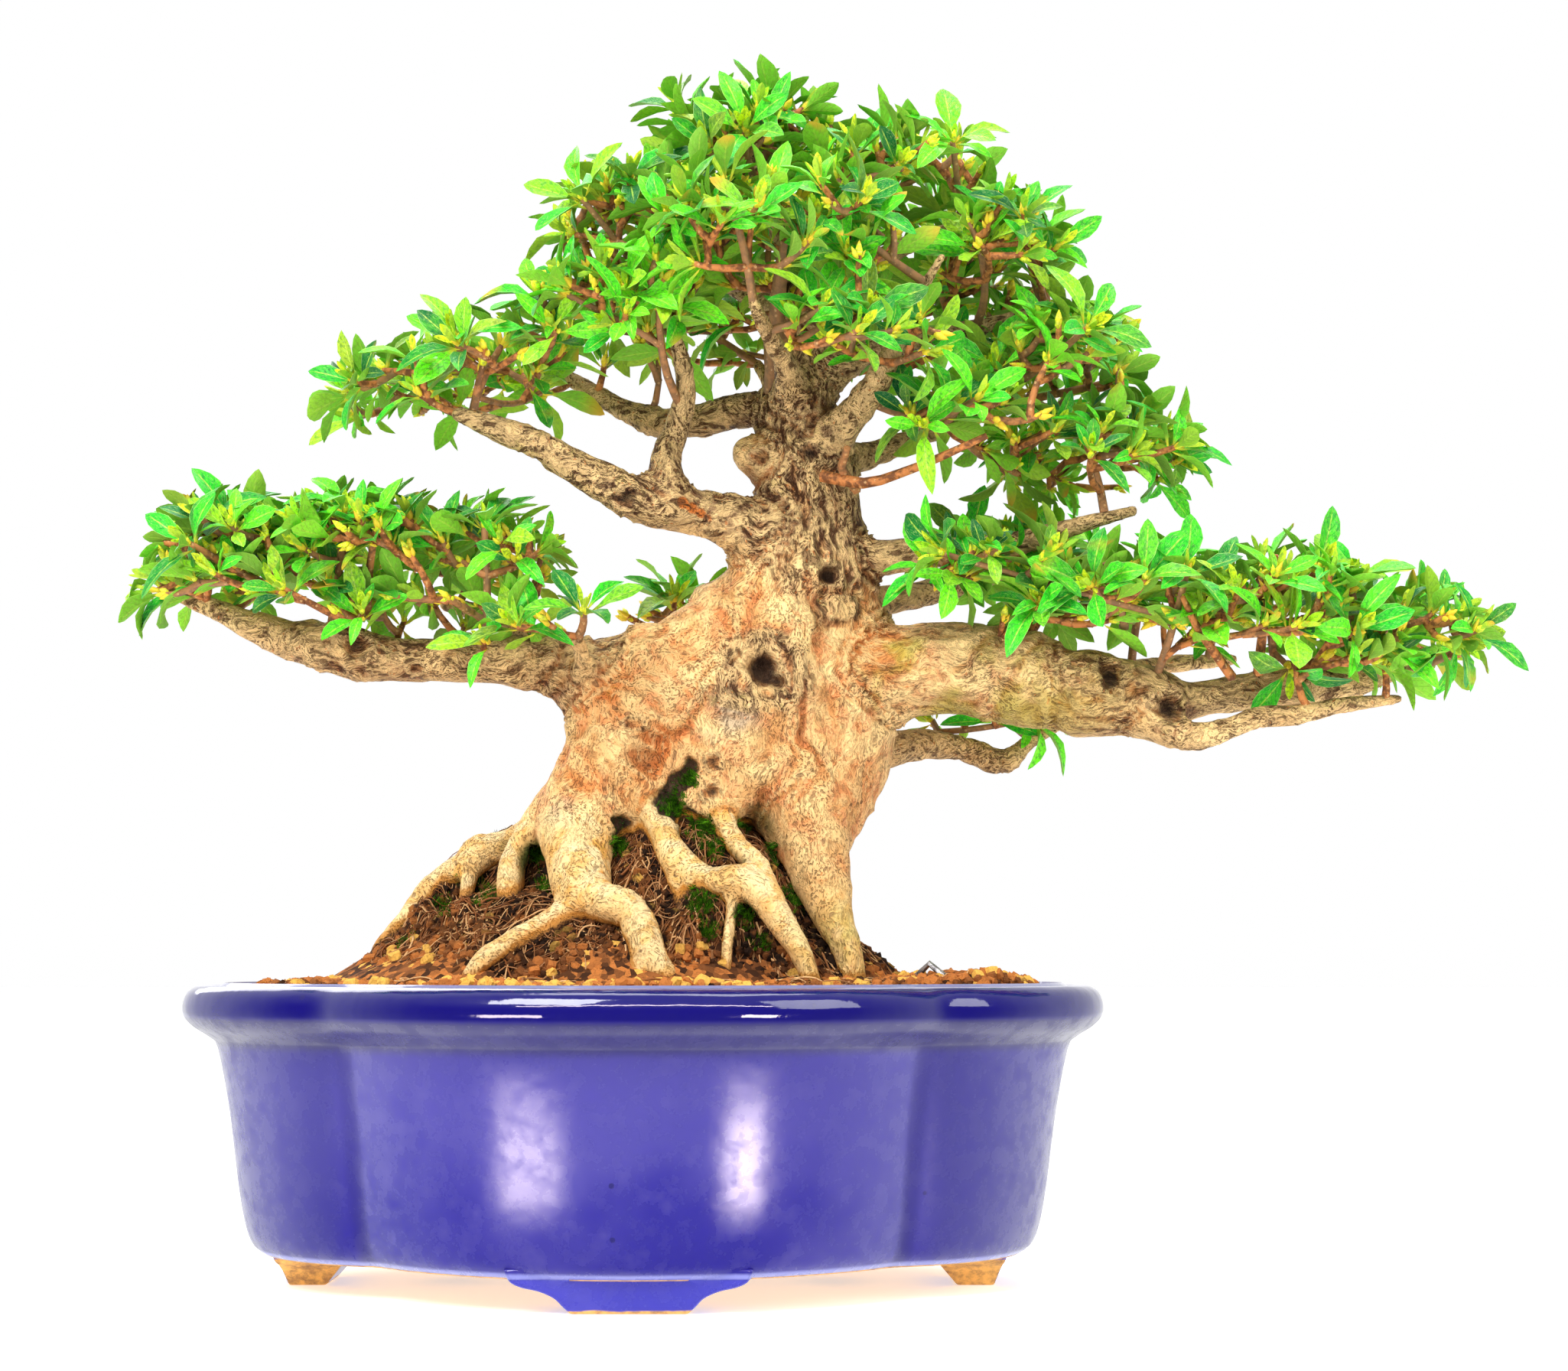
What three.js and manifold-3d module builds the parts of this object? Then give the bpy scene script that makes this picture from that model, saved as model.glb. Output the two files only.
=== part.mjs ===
// A satsuki azalea bonsai in a four-lobed glazed pot, in millimetres, +Z up.
// The pot's front faces -Y. Every place below is measured from the middle of the pot at ground
// level. The tree reaches further out on the right than on the left, so the finished group is moved
// until the origin lies under the middle of everything, on the ground.

import * as THREE from 'three';
import { mergeVertices } from 'three/addons/utils/BufferGeometryUtils.js';
import Module from 'manifold-3d';

const wasm = await Module();
wasm.setup();

// Pot: sizes of the plan at the top of the body, and heights above the ground.
const potHeight = 85.3;
const potHalfWidth = 124;
const potHalfDepth = 98;
const notchAcross = 78.6;
const notchDeep = 62;
const footHeight = 9;
const footThickness = 19;
const floorTop = 15.5;
const frontLobeSteps = 12;
const sideLobeSteps = 8;
const drainSpacing = 110;
const drainRadius = 9;
const drainSides = 14;

// Feet: half the width under the body and on the ground, and how far the face stands in.
const frontFoot = { topHalf: 33, groundHalf: 18, setIn: 16 };
const sideFoot = { topHalf: 24, groundHalf: 13, setIn: 20 };
const footSunk = 3;
const footShoulder = 9;
const footShoulderShare = 0.62;
const footCurveSteps = 3;

// The pot's section, from the middle of the underside round the lip to the middle of the floor.
// Each pair is how far the point lies outside the body's plan, and its height.
const potSection = [
  [-15, footHeight],
  [-11.8, footHeight + 2.3],
  [-9.6, 16.2],
  [-7.4, 27],
  [-4.2, 50],
  [-0.8, 67],
  [1.5, 70.4],
  [6.2, 73.4],
  [9, 76.4],
  [9.6, 79.6],
  [8.2, 83.4],
  [4.6, potHeight],
  [0, potHeight - 0.9],
  [-4, 80.5],
  [-14, 21],
  [-20, floorTop],
];

// Soil: a mound that rises from the rim towards the old root ball.
const soilGap = 0.35;
const soilWallGap = 0.65;
const soilEdgeHeight = 80.5;
const soilShelfHeight = 85.2;
const moundMiddle = [-7, 9];
const moundHalfWidth = 82;
const moundHalfDepth = 63;
const moundRise = 34;
const moundFullness = 0.8;
const soilRings = [0.95, 0.8, 0.64, 0.46, 0.24];

// Anchor wire and drainage screens.
const wireRadius = 1;
const wireSides = 6;
const wireGap = 0.35;
const rootGap = 0.35;
const screenGap = 0.3;
const screenSize = 27;
const screenThickness = 1.4;
const screenOpening = 9.5;
const screenRib = 2;
const wireRoute = [
  [86, -27, 88],
  [82, -25, 91.5],
  [78.5, -23, 88],
  [76, -20, 76],
  [66, -10, 46],
  [58, -6.2, 24],
  [57, -6, 12],
  [56, -6, 7.6],
  [48, -5, 6.9],
  [0, 0, 6.9],
  [-48, -5, 6.9],
  [-56, -6, 7.6],
  [-57, -6, 12],
  [-58, -6.2, 24],
  [-62, -8, 46],
  [-60, -14, 70],
];

// Wood: each limb is a list of points on its centre line, x, y, z and the radius there.
const trunkLimbs = {
  trunkLeft: [
    [35, 2, 204, 10],
    [22, -1, 184, 17],
    [4, -3, 168, 18.4],
    [-8, -6, 153, 15.6],
    [-15, -9, 139, 13.2],
    [-18, -15, 128, 9.8],
  ],
  trunkMiddle: [
    [46, 2, 206, 14],
    [37, 3, 184, 20],
    [29, 3, 168, 23],
    [20, 3, 152, 23],
    [10, 7, 136, 22],
    [2, 12, 112, 24],
    [0, 14, 92, 18],
  ],
  trunkRight: [
    [49, 3, 206, 14],
    [51, 4, 183, 19],
    [53, 3, 163, 19],
    [54, 1, 148, 15.3],
    [52, -4, 134, 9.4],
    [50, -12, 126, 7.1],
    [51, -18, 116, 6.6],
    [54, -22, 107, 5.7],
    [58, -26, 97, 4.4],
    [61, -30, 84, 3.2],
  ],
  rootLeft: [
    [-18, -13, 133, 10.6],
    [-18, -22, 122, 9.2],
    [-16, -30, 113, 8.7],
    [-10, -36, 108, 6.2],
    [-2, -41, 106, 5],
    [2, -45, 98, 4.4],
    [1, -50, 89, 3.6],
    [0, -53, 80, 2.8],
  ],
  rootToe: [
    [0, -44, 100, 4.2],
    [6, -50, 92, 3.6],
    [12, -55, 81, 2.8],
  ],
  rootLeftFork: [
    [-16, -30, 108, 6],
    [-27, -37, 101, 4.4],
    [-37, -42, 96, 3.7],
    [-44, -45, 91, 3],
    [-50, -47, 81, 2.2],
  ],
  rootSecond: [
    [-30, -5, 133, 6],
    [-37, -10, 123, 4.2],
    [-38, -15, 114, 3.9],
    [-38, -20, 103, 3.4],
    [-38, -24, 91, 2.6],
  ],
  rootBackLeft: [
    [-26, 4, 132, 7.5],
    [-40, 7, 126, 4.8],
    [-52, 8, 121, 4.1],
    [-64, 7, 113, 3.9],
    [-70, 4, 104, 3.8],
    [-77, 2, 95, 3.4],
    [-82, 0, 84, 2.6],
  ],
  rootSmallLeft: [
    [-50, 7, 125, 3],
    [-52, 2, 115, 2.4],
    [-53, -4, 106, 2.2],
    [-54, -8, 94, 1.8],
  ],
  rootMiddle: [
    [6, -6, 142, 8],
    [5, -17, 132, 5],
    [8, -26, 124, 4.6],
    [13, -32, 118, 5.2],
    [19, -36, 114, 4.5],
    [28, -38, 115, 4.1],
    [35, -42, 110, 4.3],
    [40, -46, 103, 4],
    [45, -50, 95, 3.4],
    [50, -54, 82, 2.6],
  ],
  rootSpur: [
    [22, -16, 133, 4],
    [28, -27, 124, 3.2],
    [34, -34, 119, 2.8],
    [37, -40, 110, 2.4],
  ],
  rootFineA: [
    [26, -37, 113, 2.6],
    [26, -41, 105, 2],
    [25, -45, 97, 1.8],
    [25, -47, 86, 1.5],
  ],
  rootFineB: [
    [10, -28, 118, 2.6],
    [12, -36, 108, 2.2],
    [15, -44, 98, 2],
    [18, -49, 86, 1.7],
  ],
  rootBackRight: [
    [50, 8, 146, 12],
    [52, 24, 124, 7.4],
    [55, 36, 104, 5.2],
    [62, 45, 84, 3.6],
  ],
  rootBackMiddle: [
    [32, 14, 142, 16],
    [40, 38, 120, 9],
    [43, 54, 102, 6],
    [40, 66, 82, 4],
  ],
  rootBackInner: [
    [8, 18, 138, 15],
    [-4, 40, 118, 8.5],
    [-16, 54, 100, 5.6],
    [-20, 64, 82, 3.8],
  ],
  rootBackOuter: [
    [-14, 12, 140, 12],
    [-34, 28, 124, 7],
    [-50, 38, 106, 5],
    [-62, 44, 84, 3.4],
  ],
};

const branchLimbs = {
  neck: [
    [46, 2, 195, 19.2],
    [48, 0, 213, 15.8],
    [49, 0, 232, 13.2],
    [46, 0, 248, 10.5],
    [45, 0, 264, 8.7],
    [47, 1, 283, 6.9],
    [44, 2, 302, 5.5],
    [36, 4, 323, 3.7],
    [30, 5, 338, 2.4],
  ],
  lowLeft: [
    [14, 0, 172, 17],
    [-12, -3, 174, 12.1],
    [-26, -6, 178, 8.5],
    [-40, -8, 180, 7.2],
    [-54, -8, 180, 6.7],
    [-69, -8, 180, 6.3],
    [-82, -8, 181, 7.4],
    [-93, -8, 184, 6.9],
    [-104, -6, 186, 5.6],
    [-115, -6, 190, 4.5],
    [-126, -4, 195, 3.2],
    [-137, -4, 199, 2],
  ],
  lowLeftBack: [
    [-20, -2, 178, 6],
    [-33, 6, 187, 4.1],
    [-47, 14, 195, 3.2],
    [-62, 22, 200, 2.2],
  ],
  lowLeftFront: [
    [-14, -8, 172, 6],
    [-17, -22, 178, 3],
    [-18, -32, 184, 1.8],
  ],
  lowRight: [
    [50, 2, 176, 17],
    [69, -1, 177, 14.4],
    [85, -4, 178, 13.5],
    [102, -6, 177, 13.5],
    [120, -8, 172, 12.1],
    [136, -8, 170, 11.2],
    [147, -8, 169, 9.8],
    [157, -6, 168, 5.8],
    [171, -4, 170, 5.2],
    [186, -2, 172, 5.9],
    [202, 0, 173, 5.4],
    [216, 2, 176, 3.2],
    [228, 4, 179, 1.8],
  ],
  lowRightUnder: [
    [143, -10, 165, 6],
    [157, -17, 157, 4.4],
    [166, -19, 158, 3.7],
    [177, -19, 162, 3.1],
    [189, -19, 163, 2.9],
    [203, -17, 166, 2.4],
    [219, -14, 168, 1.6],
  ],
  lowRightBack: [
    [128, -2, 172, 8],
    [142, 14, 178, 4],
    [158, 26, 182, 2.8],
    [178, 32, 184, 1.8],
  ],
  leftArm: [
    [46, -2, 213, 11],
    [32, -9, 218, 9.4],
    [19, -13, 222, 6.9],
    [8, -16, 224, 6.9],
    [-3, -19, 226, 6.2],
    [-11, -21, 230, 5.5],
    [-22, -23, 236, 5.1],
    [-31, -25, 241, 4.4],
    [-42, -27, 245, 3.5],
    [-53, -28, 249, 2.2],
  ],
  leftRiser: [
    [7, -17, 227, 5],
    [6, -16, 237, 4.5],
    [9, -12, 247, 3.8],
    [12, -18, 260, 2.7],
    [8, -26, 276, 1.8],
  ],
  leftUpper: [
    [44, 1, 253, 7.5],
    [31, 7, 257, 5.5],
    [16, 13, 255, 5.1],
    [4, 17, 255, 4.7],
    [-5, 20, 258, 3.7],
    [-17, 24, 265, 2.8],
    [-31, 26, 274, 1.9],
  ],
  leftHigh: [
    [46, 2, 284, 6],
    [32, 10, 292, 3.8],
    [16, 14, 302, 2.8],
    [0, 14, 308, 1.9],
  ],
  rightFront: [
    [49, -3, 240, 8],
    [64, -18, 255, 4.4],
    [72, -26, 267, 3.1],
    [77, -32, 279, 2.2],
    [86, -36, 293, 1.4],
  ],
  rightUpper: [
    [50, 3, 240, 8],
    [65, 14, 244, 4.6],
    [79, 20, 250, 3.4],
    [95, 26, 257, 2.6],
    [114, 30, 264, 1.8],
  ],
  rightHigh: [
    [46, 0, 280, 6.4],
    [60, -6, 293, 3.8],
    [76, -8, 303, 2.8],
    [94, -8, 310, 1.9],
  ],
  rightOuter: [
    [47, 0, 262, 7],
    [64, 0, 272, 4.4],
    [82, 2, 278, 3.4],
    [102, 4, 282, 2.6],
    [120, 6, 288, 1.8],
  ],
  rightMiddle: [
    [52, 1, 208, 9],
    [64, -4, 210, 6.1],
    [76, -6, 211, 5.2],
    [86, -8, 212, 4.7],
    [98, -12, 211, 4.5],
    [112, -16, 214, 3.3],
    [126, -18, 218, 2.4],
    [142, -20, 222, 1.6],
  ],
  rightRear: [
    [54, 10, 196, 10],
    [70, 24, 201, 4.9],
    [84, 34, 205, 4],
    [99, 44, 209, 3.3],
    [114, 52, 216, 2.4],
    [132, 58, 220, 1.5],
  ],
  rightUnder: [
    [56, 10, 156, 10],
    [72, 22, 156, 5.6],
    [84, 30, 158, 4.7],
    [96, 36, 157, 3.7],
    [108, 38, 153, 3.5],
    [117, 40, 160, 2.4],
    [127, 42, 165, 1.4],
  ],
  rearLow: [
    [18, 14, 170, 12],
    [10, 38, 180, 5],
    [6, 58, 187, 3.6],
    [0, 76, 193, 2.6],
    [-8, 88, 198, 1.8],
  ],
  rearHigh: [
    [48, 6, 222, 11],
    [51, 32, 237, 5.4],
    [50, 52, 252, 4.1],
    [42, 64, 268, 2.9],
    [32, 70, 284, 1.8],
  ],
  frontHigh: [
    [45, -3, 256, 7],
    [41, -26, 264, 3.3],
    [36, -42, 270, 2.4],
    [32, -54, 276, 1.6],
  ],
};
const limbSidesThick = 8;
const limbSidesThin = 5;
const thickLimbRadius = 6;
const firstSide = [0.31, -0.9, 0.28];

// Foliage: clouds that hold the shoot tips, with the limbs that feed each cloud.
const clouds = [
  { at: [26, 2, 332], size: [18, 30, 12], limbs: ['neck', 'leftHigh'], share: 5 },
  { at: [75, 0, 322], size: [28, 42, 14], limbs: ['rightHigh', 'neck'], share: 7 },
  { at: [-7, 2, 308], size: [22, 42, 17], limbs: ['leftHigh', 'leftUpper'], share: 7 },
  { at: [-50, -4, 265], size: [22, 38, 9], limbs: ['leftArm', 'leftUpper'], share: 6 },
  { at: [-12, -16, 276], size: [26, 40, 17], limbs: ['leftRiser', 'leftUpper', 'leftArm'], share: 6 },
  { at: [36, -36, 292], size: [42, 32, 26], limbs: ['frontHigh', 'leftRiser', 'rightFront'], share: 9 },
  { at: [64, -50, 266], size: [26, 16, 12], limbs: ['frontHigh', 'rightFront'], share: 4 },
  { at: [104, 0, 299], size: [18, 40, 18], limbs: ['rightHigh', 'rightOuter'], share: 6 },
  { at: [122, 2, 267], size: [22, 42, 16], limbs: ['rightOuter', 'rightUpper'], share: 6 },
  { at: [131, 2, 240], size: [30, 40, 12], limbs: ['rightUpper', 'rightMiddle'], share: 6 },
  { at: [96, -22, 246], size: [24, 20, 13], limbs: ['rightFront', 'rightMiddle'], share: 3 },
  { at: [34, 52, 296], size: [46, 20, 28], limbs: ['rearHigh', 'leftHigh'], share: 8 },
  { at: [86, 42, 284], size: [34, 20, 22], limbs: ['rightOuter', 'rightUpper'], share: 5 },
  { at: [-122, -5, 211], size: [24, 32, 12], limbs: ['lowLeft'], share: 9 },
  { at: [-84, -5, 213], size: [28, 36, 12], limbs: ['lowLeft', 'lowLeftBack'], share: 9 },
  { at: [-48, 2, 210], size: [22, 30, 12], limbs: ['lowLeftBack', 'lowLeft'], share: 6 },
  { at: [-18, -38, 188], size: [9, 6, 3], limbs: ['lowLeftFront'], share: 2 },
  { at: [4, 80, 203], size: [16, 18, 7], limbs: ['rearLow'], share: 4 },
  { at: [104, -24, 205], size: [24, 18, 9], limbs: ['rightMiddle', 'lowRight'], share: 4 },
  { at: [140, -6, 198], size: [28, 36, 10], limbs: ['lowRight', 'lowRightBack', 'rightMiddle'], share: 7 },
  { at: [186, -2, 198], size: [28, 38, 11], limbs: ['lowRight', 'lowRightBack'], share: 9 },
  { at: [226, 0, 187], size: [21, 34, 11], limbs: ['lowRight'], share: 9 },
  { at: [203, -14, 178], size: [20, 14, 5], limbs: ['lowRightUnder'], share: 3 },
  { at: [112, 54, 218], size: [28, 20, 11], limbs: ['rightRear'], share: 4 },
  { at: [106, 46, 166], size: [22, 14, 6], limbs: ['rightUnder'], share: 3 },
];
// The shoots that reach furthest: the ends of the two low limbs and the top of the crown.
const outermostTips = [
  { at: [-144, -6, 204], out: [-0.95, 0, 0.1], limbs: ['lowLeft'] },
  { at: [240, 2, 184], out: [0.95, 0, 0.1], limbs: ['lowRight'] },
  { at: [9, 3, 349], out: [-0.2, 0, 1], limbs: ['neck', 'leftHigh'] },
  { at: [38, 0, 346], out: [0.2, 0, 1], limbs: ['neck', 'rightHigh'] },
];
const foliageSeed = 20117;
const sprayCount = 46;
const shootCount = 60;
const candidatesPerShoot = 24;
const shellInner = 0.62;
const lowestFacing = -0.35;
const limbSampleStep = 4;
const sprayBaseRadius = 1.7;
const sprayTipRadius = 1.2;
const twigBaseRadius = 1.2;
const twigTipRadius = 1.1;
const budRadius = 1.45;
const stemClearance = 0.9;
const stemStartRoom = 4;
const stemChecksPerSpan = 8;
const stemPlacesTried = 40;
const stemBow = 0.16;
const stemSag = 0.08;
const climbCost = 1.2;
const climbShare = 0.25;
const outwardPull = 0.5;
const budHalfHeight = 0.5;
const budPointHeight = 2.4;
const budRoom = 4;

// Leaves: blades widest past the middle, folded a little along the midrib.
const leafThickness = 0.64;
const leafLengthLow = 15;
const leafLengthHigh = 20.5;
const leafWidthShare = 0.41;
const leafStations = [
  [0.34, 0.76],
  [0.7, 1],
];
const leafFold = 0.28;
const leafDroop = 0.15;
const leafClearance = 1.3;
const leafRootRoom = 3;
const leafStemRoom = 5;
const leafTries = 12;
const leafLeanLow = 0.7;
const leafLeanSpread = 0.6;
const leafSwing = 0.5;
const leafShorterEachTry = 0.03;
const leafStart = 0.8;
const leavesPerShoot = 5;
const leafCutVolume = 0.02;

const woodColour = 0xc9a06a;
const leafColour = 0x3f9a3a;
const potColour = 0x3a35a8;
const soilColour = 0x7a4a2c;
const wireColour = 0x8a8d90;
const screenColour = 0x24282a;
const weldDistance = 1e-4;
const sliverSize = 0.04;

// Turns a closed geometry into a solid that can be joined and cut.
function toSolid(geometry) {
  const bare = geometry.clone();
  bare.deleteAttribute('normal');
  bare.deleteAttribute('uv');
  const merged = mergeVertices(bare, weldDistance);
  return new wasm.Manifold(new wasm.Mesh({
    numProp: 3,
    vertProperties: new Float32Array(merged.attributes.position.array),
    triVerts: new Uint32Array(merged.index.array),
  }));
}

function toGeometry(solid) {
  const mesh = solid.getMesh();
  const geometry = new THREE.BufferGeometry();
  geometry.setAttribute('position', new THREE.BufferAttribute(new Float32Array(mesh.vertProperties), 3));
  geometry.setIndex(new THREE.BufferAttribute(new Uint32Array(mesh.triVerts), 1));
  geometry.computeVertexNormals();
  return geometry;
}

function closedGeometry(points, triangles) {
  const geometry = new THREE.BufferGeometry();
  geometry.setAttribute('position', new THREE.Float32BufferAttribute(points.flat(), 3));
  geometry.setIndex(triangles.flat());
  return geometry;
}

// Joins rings of equal length into a closed skin, with a fan at each end.
function loft(rings, firstMiddle, lastMiddle) {
  const count = rings[0].length;
  const points = rings.flat();
  const firstIndex = points.push(firstMiddle) - 1;
  const lastIndex = points.push(lastMiddle) - 1;
  const triangles = [];
  for (let j = 0; j < count; j += 1) {
    const k = (j + 1) % count;
    triangles.push([firstIndex, k, j]);
    const top = (rings.length - 1) * count;
    triangles.push([lastIndex, top + j, top + k]);
    for (let i = 0; i < rings.length - 1; i += 1) {
      const a = i * count;
      const b = a + count;
      triangles.push([a + j, a + k, b + k]);
      triangles.push([a + j, b + k, b + j]);
    }
  }
  return closedGeometry(points, triangles);
}

// A tube with a radius of its own at each point, round a smooth centre line.
function taperedTube(route, sides, extraRadius = 0) {
  const centres = route.map((p) => new THREE.Vector3(p[0], p[1], p[2]));
  const curve = new THREE.CatmullRomCurve3(centres, false, 'centripetal');
  const side = new THREE.Vector3(...firstSide);
  const rings = [];
  for (const [index, point] of route.entries()) {
    const centre = curve.getPoint(index / (route.length - 1));
    const along = curve.getTangent(index / (route.length - 1));
    side.addScaledVector(along, -side.dot(along)).normalize();
    const across = new THREE.Vector3().crossVectors(along, side);
    const radius = point[3] + extraRadius;
    const ring = [];
    for (let j = 0; j < sides; j += 1) {
      const angle = (2 * Math.PI * j) / sides;
      ring.push(centre.clone()
        .addScaledVector(side, radius * Math.cos(angle))
        .addScaledVector(across, radius * Math.sin(angle))
        .toArray());
    }
    rings.push(ring);
  }
  return loft(rings, curve.getPoint(0).toArray(), curve.getPoint(1).toArray());
}

function namedMesh(name, geometry, colour, roughness) {
  const material = new THREE.MeshStandardMaterial({ color: colour, roughness, metalness: 0 });
  const mesh = new THREE.Mesh(geometry, material);
  mesh.name = name;
  return mesh;
}

// The pot's plan: two wide lobes and two narrow ones, each an arc, meeting in four notches.
function lobeRadius(halfChord, rise) {
  return (halfChord * halfChord + rise * rise) / (2 * rise);
}

const frontRadius = lobeRadius(notchAcross, potHalfDepth - notchDeep);
const frontMiddle = potHalfDepth - frontRadius;
const sideRadius = lobeRadius(notchDeep, potHalfWidth - notchAcross);
const sideMiddle = potHalfWidth - sideRadius;

function notchAt(outside) {
  const a = frontRadius + outside;
  const b = sideRadius + outside;
  const apart = Math.hypot(sideMiddle, frontMiddle);
  const along = (a * a - b * b + apart * apart) / (2 * apart);
  const off = Math.sqrt(a * a - along * along);
  const ux = sideMiddle / apart;
  const uy = -frontMiddle / apart;
  return [ux * along - uy * off, frontMiddle + uy * along + ux * off];
}

function planAt(outside, z) {
  const [notchX, notchY] = notchAt(outside);
  const frontHalfAngle = Math.atan2(notchX, notchY - frontMiddle);
  const sideHalfAngle = Math.atan2(notchY, notchX - sideMiddle);
  const points = [];
  const addArc = (x, y, radius, facing, halfAngle, steps) => {
    for (let i = 0; i < steps; i += 1) {
      const angle = facing + halfAngle * ((2 * i) / steps - 1);
      points.push([x + radius * Math.cos(angle), y + radius * Math.sin(angle), z]);
    }
  };
  addArc(sideMiddle, 0, sideRadius + outside, 0, sideHalfAngle, sideLobeSteps);
  addArc(0, frontMiddle, frontRadius + outside, Math.PI / 2, frontHalfAngle, frontLobeSteps);
  addArc(-sideMiddle, 0, sideRadius + outside, Math.PI, sideHalfAngle, sideLobeSteps);
  addArc(0, -frontMiddle, frontRadius + outside, -Math.PI / 2, frontHalfAngle, frontLobeSteps);
  return points;
}

// A cloud-shaped foot: wide under the body, with hollow curved ends, narrow on the ground.
function footGeometry({ topHalf, groundHalf, setIn }, bodyHalf) {
  const shape = new THREE.Shape();
  const top = footHeight + footSunk;
  const shoulder = footHeight * footShoulderShare;
  const shoulderHalf = groundHalf + footShoulder;
  shape.moveTo(-groundHalf, 0);
  shape.lineTo(groundHalf, 0);
  shape.quadraticCurveTo(groundHalf + 1, shoulder, shoulderHalf, shoulder);
  shape.quadraticCurveTo(topHalf - 1, shoulder, topHalf, top);
  shape.lineTo(-topHalf, top);
  shape.quadraticCurveTo(-topHalf + 1, shoulder, -shoulderHalf, shoulder);
  shape.quadraticCurveTo(-groundHalf - 1, shoulder, -groundHalf, 0);
  const foot = new THREE.ExtrudeGeometry(shape, {
    depth: footThickness,
    bevelEnabled: false,
    curveSegments: footCurveSteps,
  });
  foot.rotateX(Math.PI / 2);
  foot.translate(0, setIn - bodyHalf + footThickness, 0);
  return foot;
}

function makePot() {
  const rings = potSection.map(([outside, z]) => planAt(outside, z));
  let pot = toSolid(loft(rings, [0, 0, footHeight], [0, 0, floorTop]));
  for (const turn of [0, Math.PI]) {
    pot = pot.add(toSolid(footGeometry(frontFoot, potHalfDepth).rotateZ(turn)));
    pot = pot.add(toSolid(footGeometry(sideFoot, potHalfWidth).rotateZ(turn + Math.PI / 2)));
  }
  for (const side of [-1, 1]) {
    const drain = new THREE.CylinderGeometry(drainRadius, drainRadius, 4 * floorTop, drainSides);
    drain.rotateX(Math.PI / 2);
    drain.translate((side * drainSpacing) / 2, 0, 0);
    pot = pot.subtract(toSolid(drain));
  }
  return pot;
}

function soilHeight(x, y) {
  const across = (x - moundMiddle[0]) / moundHalfWidth;
  const deep = (y - moundMiddle[1]) / moundHalfDepth;
  const inside = Math.max(0, 1 - across * across - deep * deep);
  return soilShelfHeight + moundRise * inside ** moundFullness;
}

function makeSoil(cutters) {
  const wall = potSection.slice(-3).reverse();
  const rings = wall.map(([outside, z], i) => {
    const lift = i === 0 ? soilGap : 0;
    return planAt(outside - soilWallGap, z + lift);
  });
  const edge = rings.pop();
  rings.push(edge.map(([x, y]) => [x, y, soilEdgeHeight]));
  for (const scale of soilRings) {
    rings.push(edge.map(([x, y]) => [x * scale, y * scale, soilHeight(x * scale, y * scale)]));
  }
  let soil = toSolid(loft(rings, [0, 0, floorTop + soilGap], [0, 0, soilHeight(0, 0)]));
  for (const cutter of cutters) {
    soil = soil.subtract(cutter);
  }
  return soil.simplify(sliverSize);
}

function screenPlate(middleX, grow = 0) {
  const size = screenSize + 2 * grow;
  const plate = new THREE.BoxGeometry(size, size, screenThickness + 2 * grow);
  plate.translate(middleX, 0, floorTop + soilGap + screenThickness / 2);
  return toSolid(plate);
}

function makeScreen(middleX) {
  let screen = screenPlate(middleX);
  const offset = (screenOpening + screenRib) / 2;
  for (const across of [-offset, offset]) {
    for (const deep of [-offset, offset]) {
      const opening = new THREE.BoxGeometry(screenOpening, screenOpening, 3 * screenThickness);
      opening.translate(middleX + across, deep, floorTop + soilGap);
      screen = screen.subtract(toSolid(opening));
    }
  }
  return screen;
}

function wireTube(extraRadius) {
  return taperedTube(wireRoute.map((p) => [...p, wireRadius]), wireSides, extraRadius);
}

// Every limb as one solid; grown by a small amount it is the hole that its neighbours leave for it.
function makeWood(extraRadius) {
  const solids = Object.values({ ...trunkLimbs, ...branchLimbs }).map((route) => {
    const meanRadius = route.reduce((sum, p) => sum + p[3], 0) / route.length;
    const sides = meanRadius > thickLimbRadius ? limbSidesThick : limbSidesThin;
    return toSolid(taperedTube(route, sides, extraRadius));
  });
  return wasm.Manifold.union(solids).simplify(sliverSize);
}

// Draws numbers from 0 to 1 that are the same in every run.
function randomStream(seed) {
  let state = seed;
  return () => {
    state = (state * 1664525 + 1013904223) % 4294967296;
    return state / 4294967296;
  };
}

function sampleLimb(name) {
  const route = branchLimbs[name];
  const samples = [];
  for (let i = 1; i < route.length - 1; i += 1) {
    const a = route[i];
    const b = route[i + 1];
    const length = Math.hypot(b[0] - a[0], b[1] - a[1], b[2] - a[2]);
    const steps = Math.max(1, Math.round(length / limbSampleStep));
    for (let k = 0; k < steps; k += 1) {
      const t = k / steps;
      samples.push(a.map((value, axis) => value + (b[axis] - value) * t));
    }
  }
  samples.push(route[route.length - 1]);
  return samples;
}

function distanceToSegment(p, a, b) {
  const ab = [b[0] - a[0], b[1] - a[1], b[2] - a[2]];
  const ap = [p[0] - a[0], p[1] - a[1], p[2] - a[2]];
  const along = (ap[0] * ab[0] + ap[1] * ab[1] + ap[2] * ab[2]) / (ab[0] ** 2 + ab[1] ** 2 + ab[2] ** 2);
  const t = Math.min(1, Math.max(0, along));
  const gap = Math.hypot(ap[0] - ab[0] * t, ap[1] - ab[1] * t, ap[2] - ab[2] * t);
  return gap - (a[3] + (b[3] - a[3]) * t);
}

function clearanceFrom(p, segments) {
  let least = Infinity;
  for (const [a, b] of segments) {
    least = Math.min(least, distanceToSegment(p, a, b));
  }
  return least;
}

function routeSegments(route) {
  return route.slice(1).map((point, i) => [route[i], point]);
}

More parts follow.
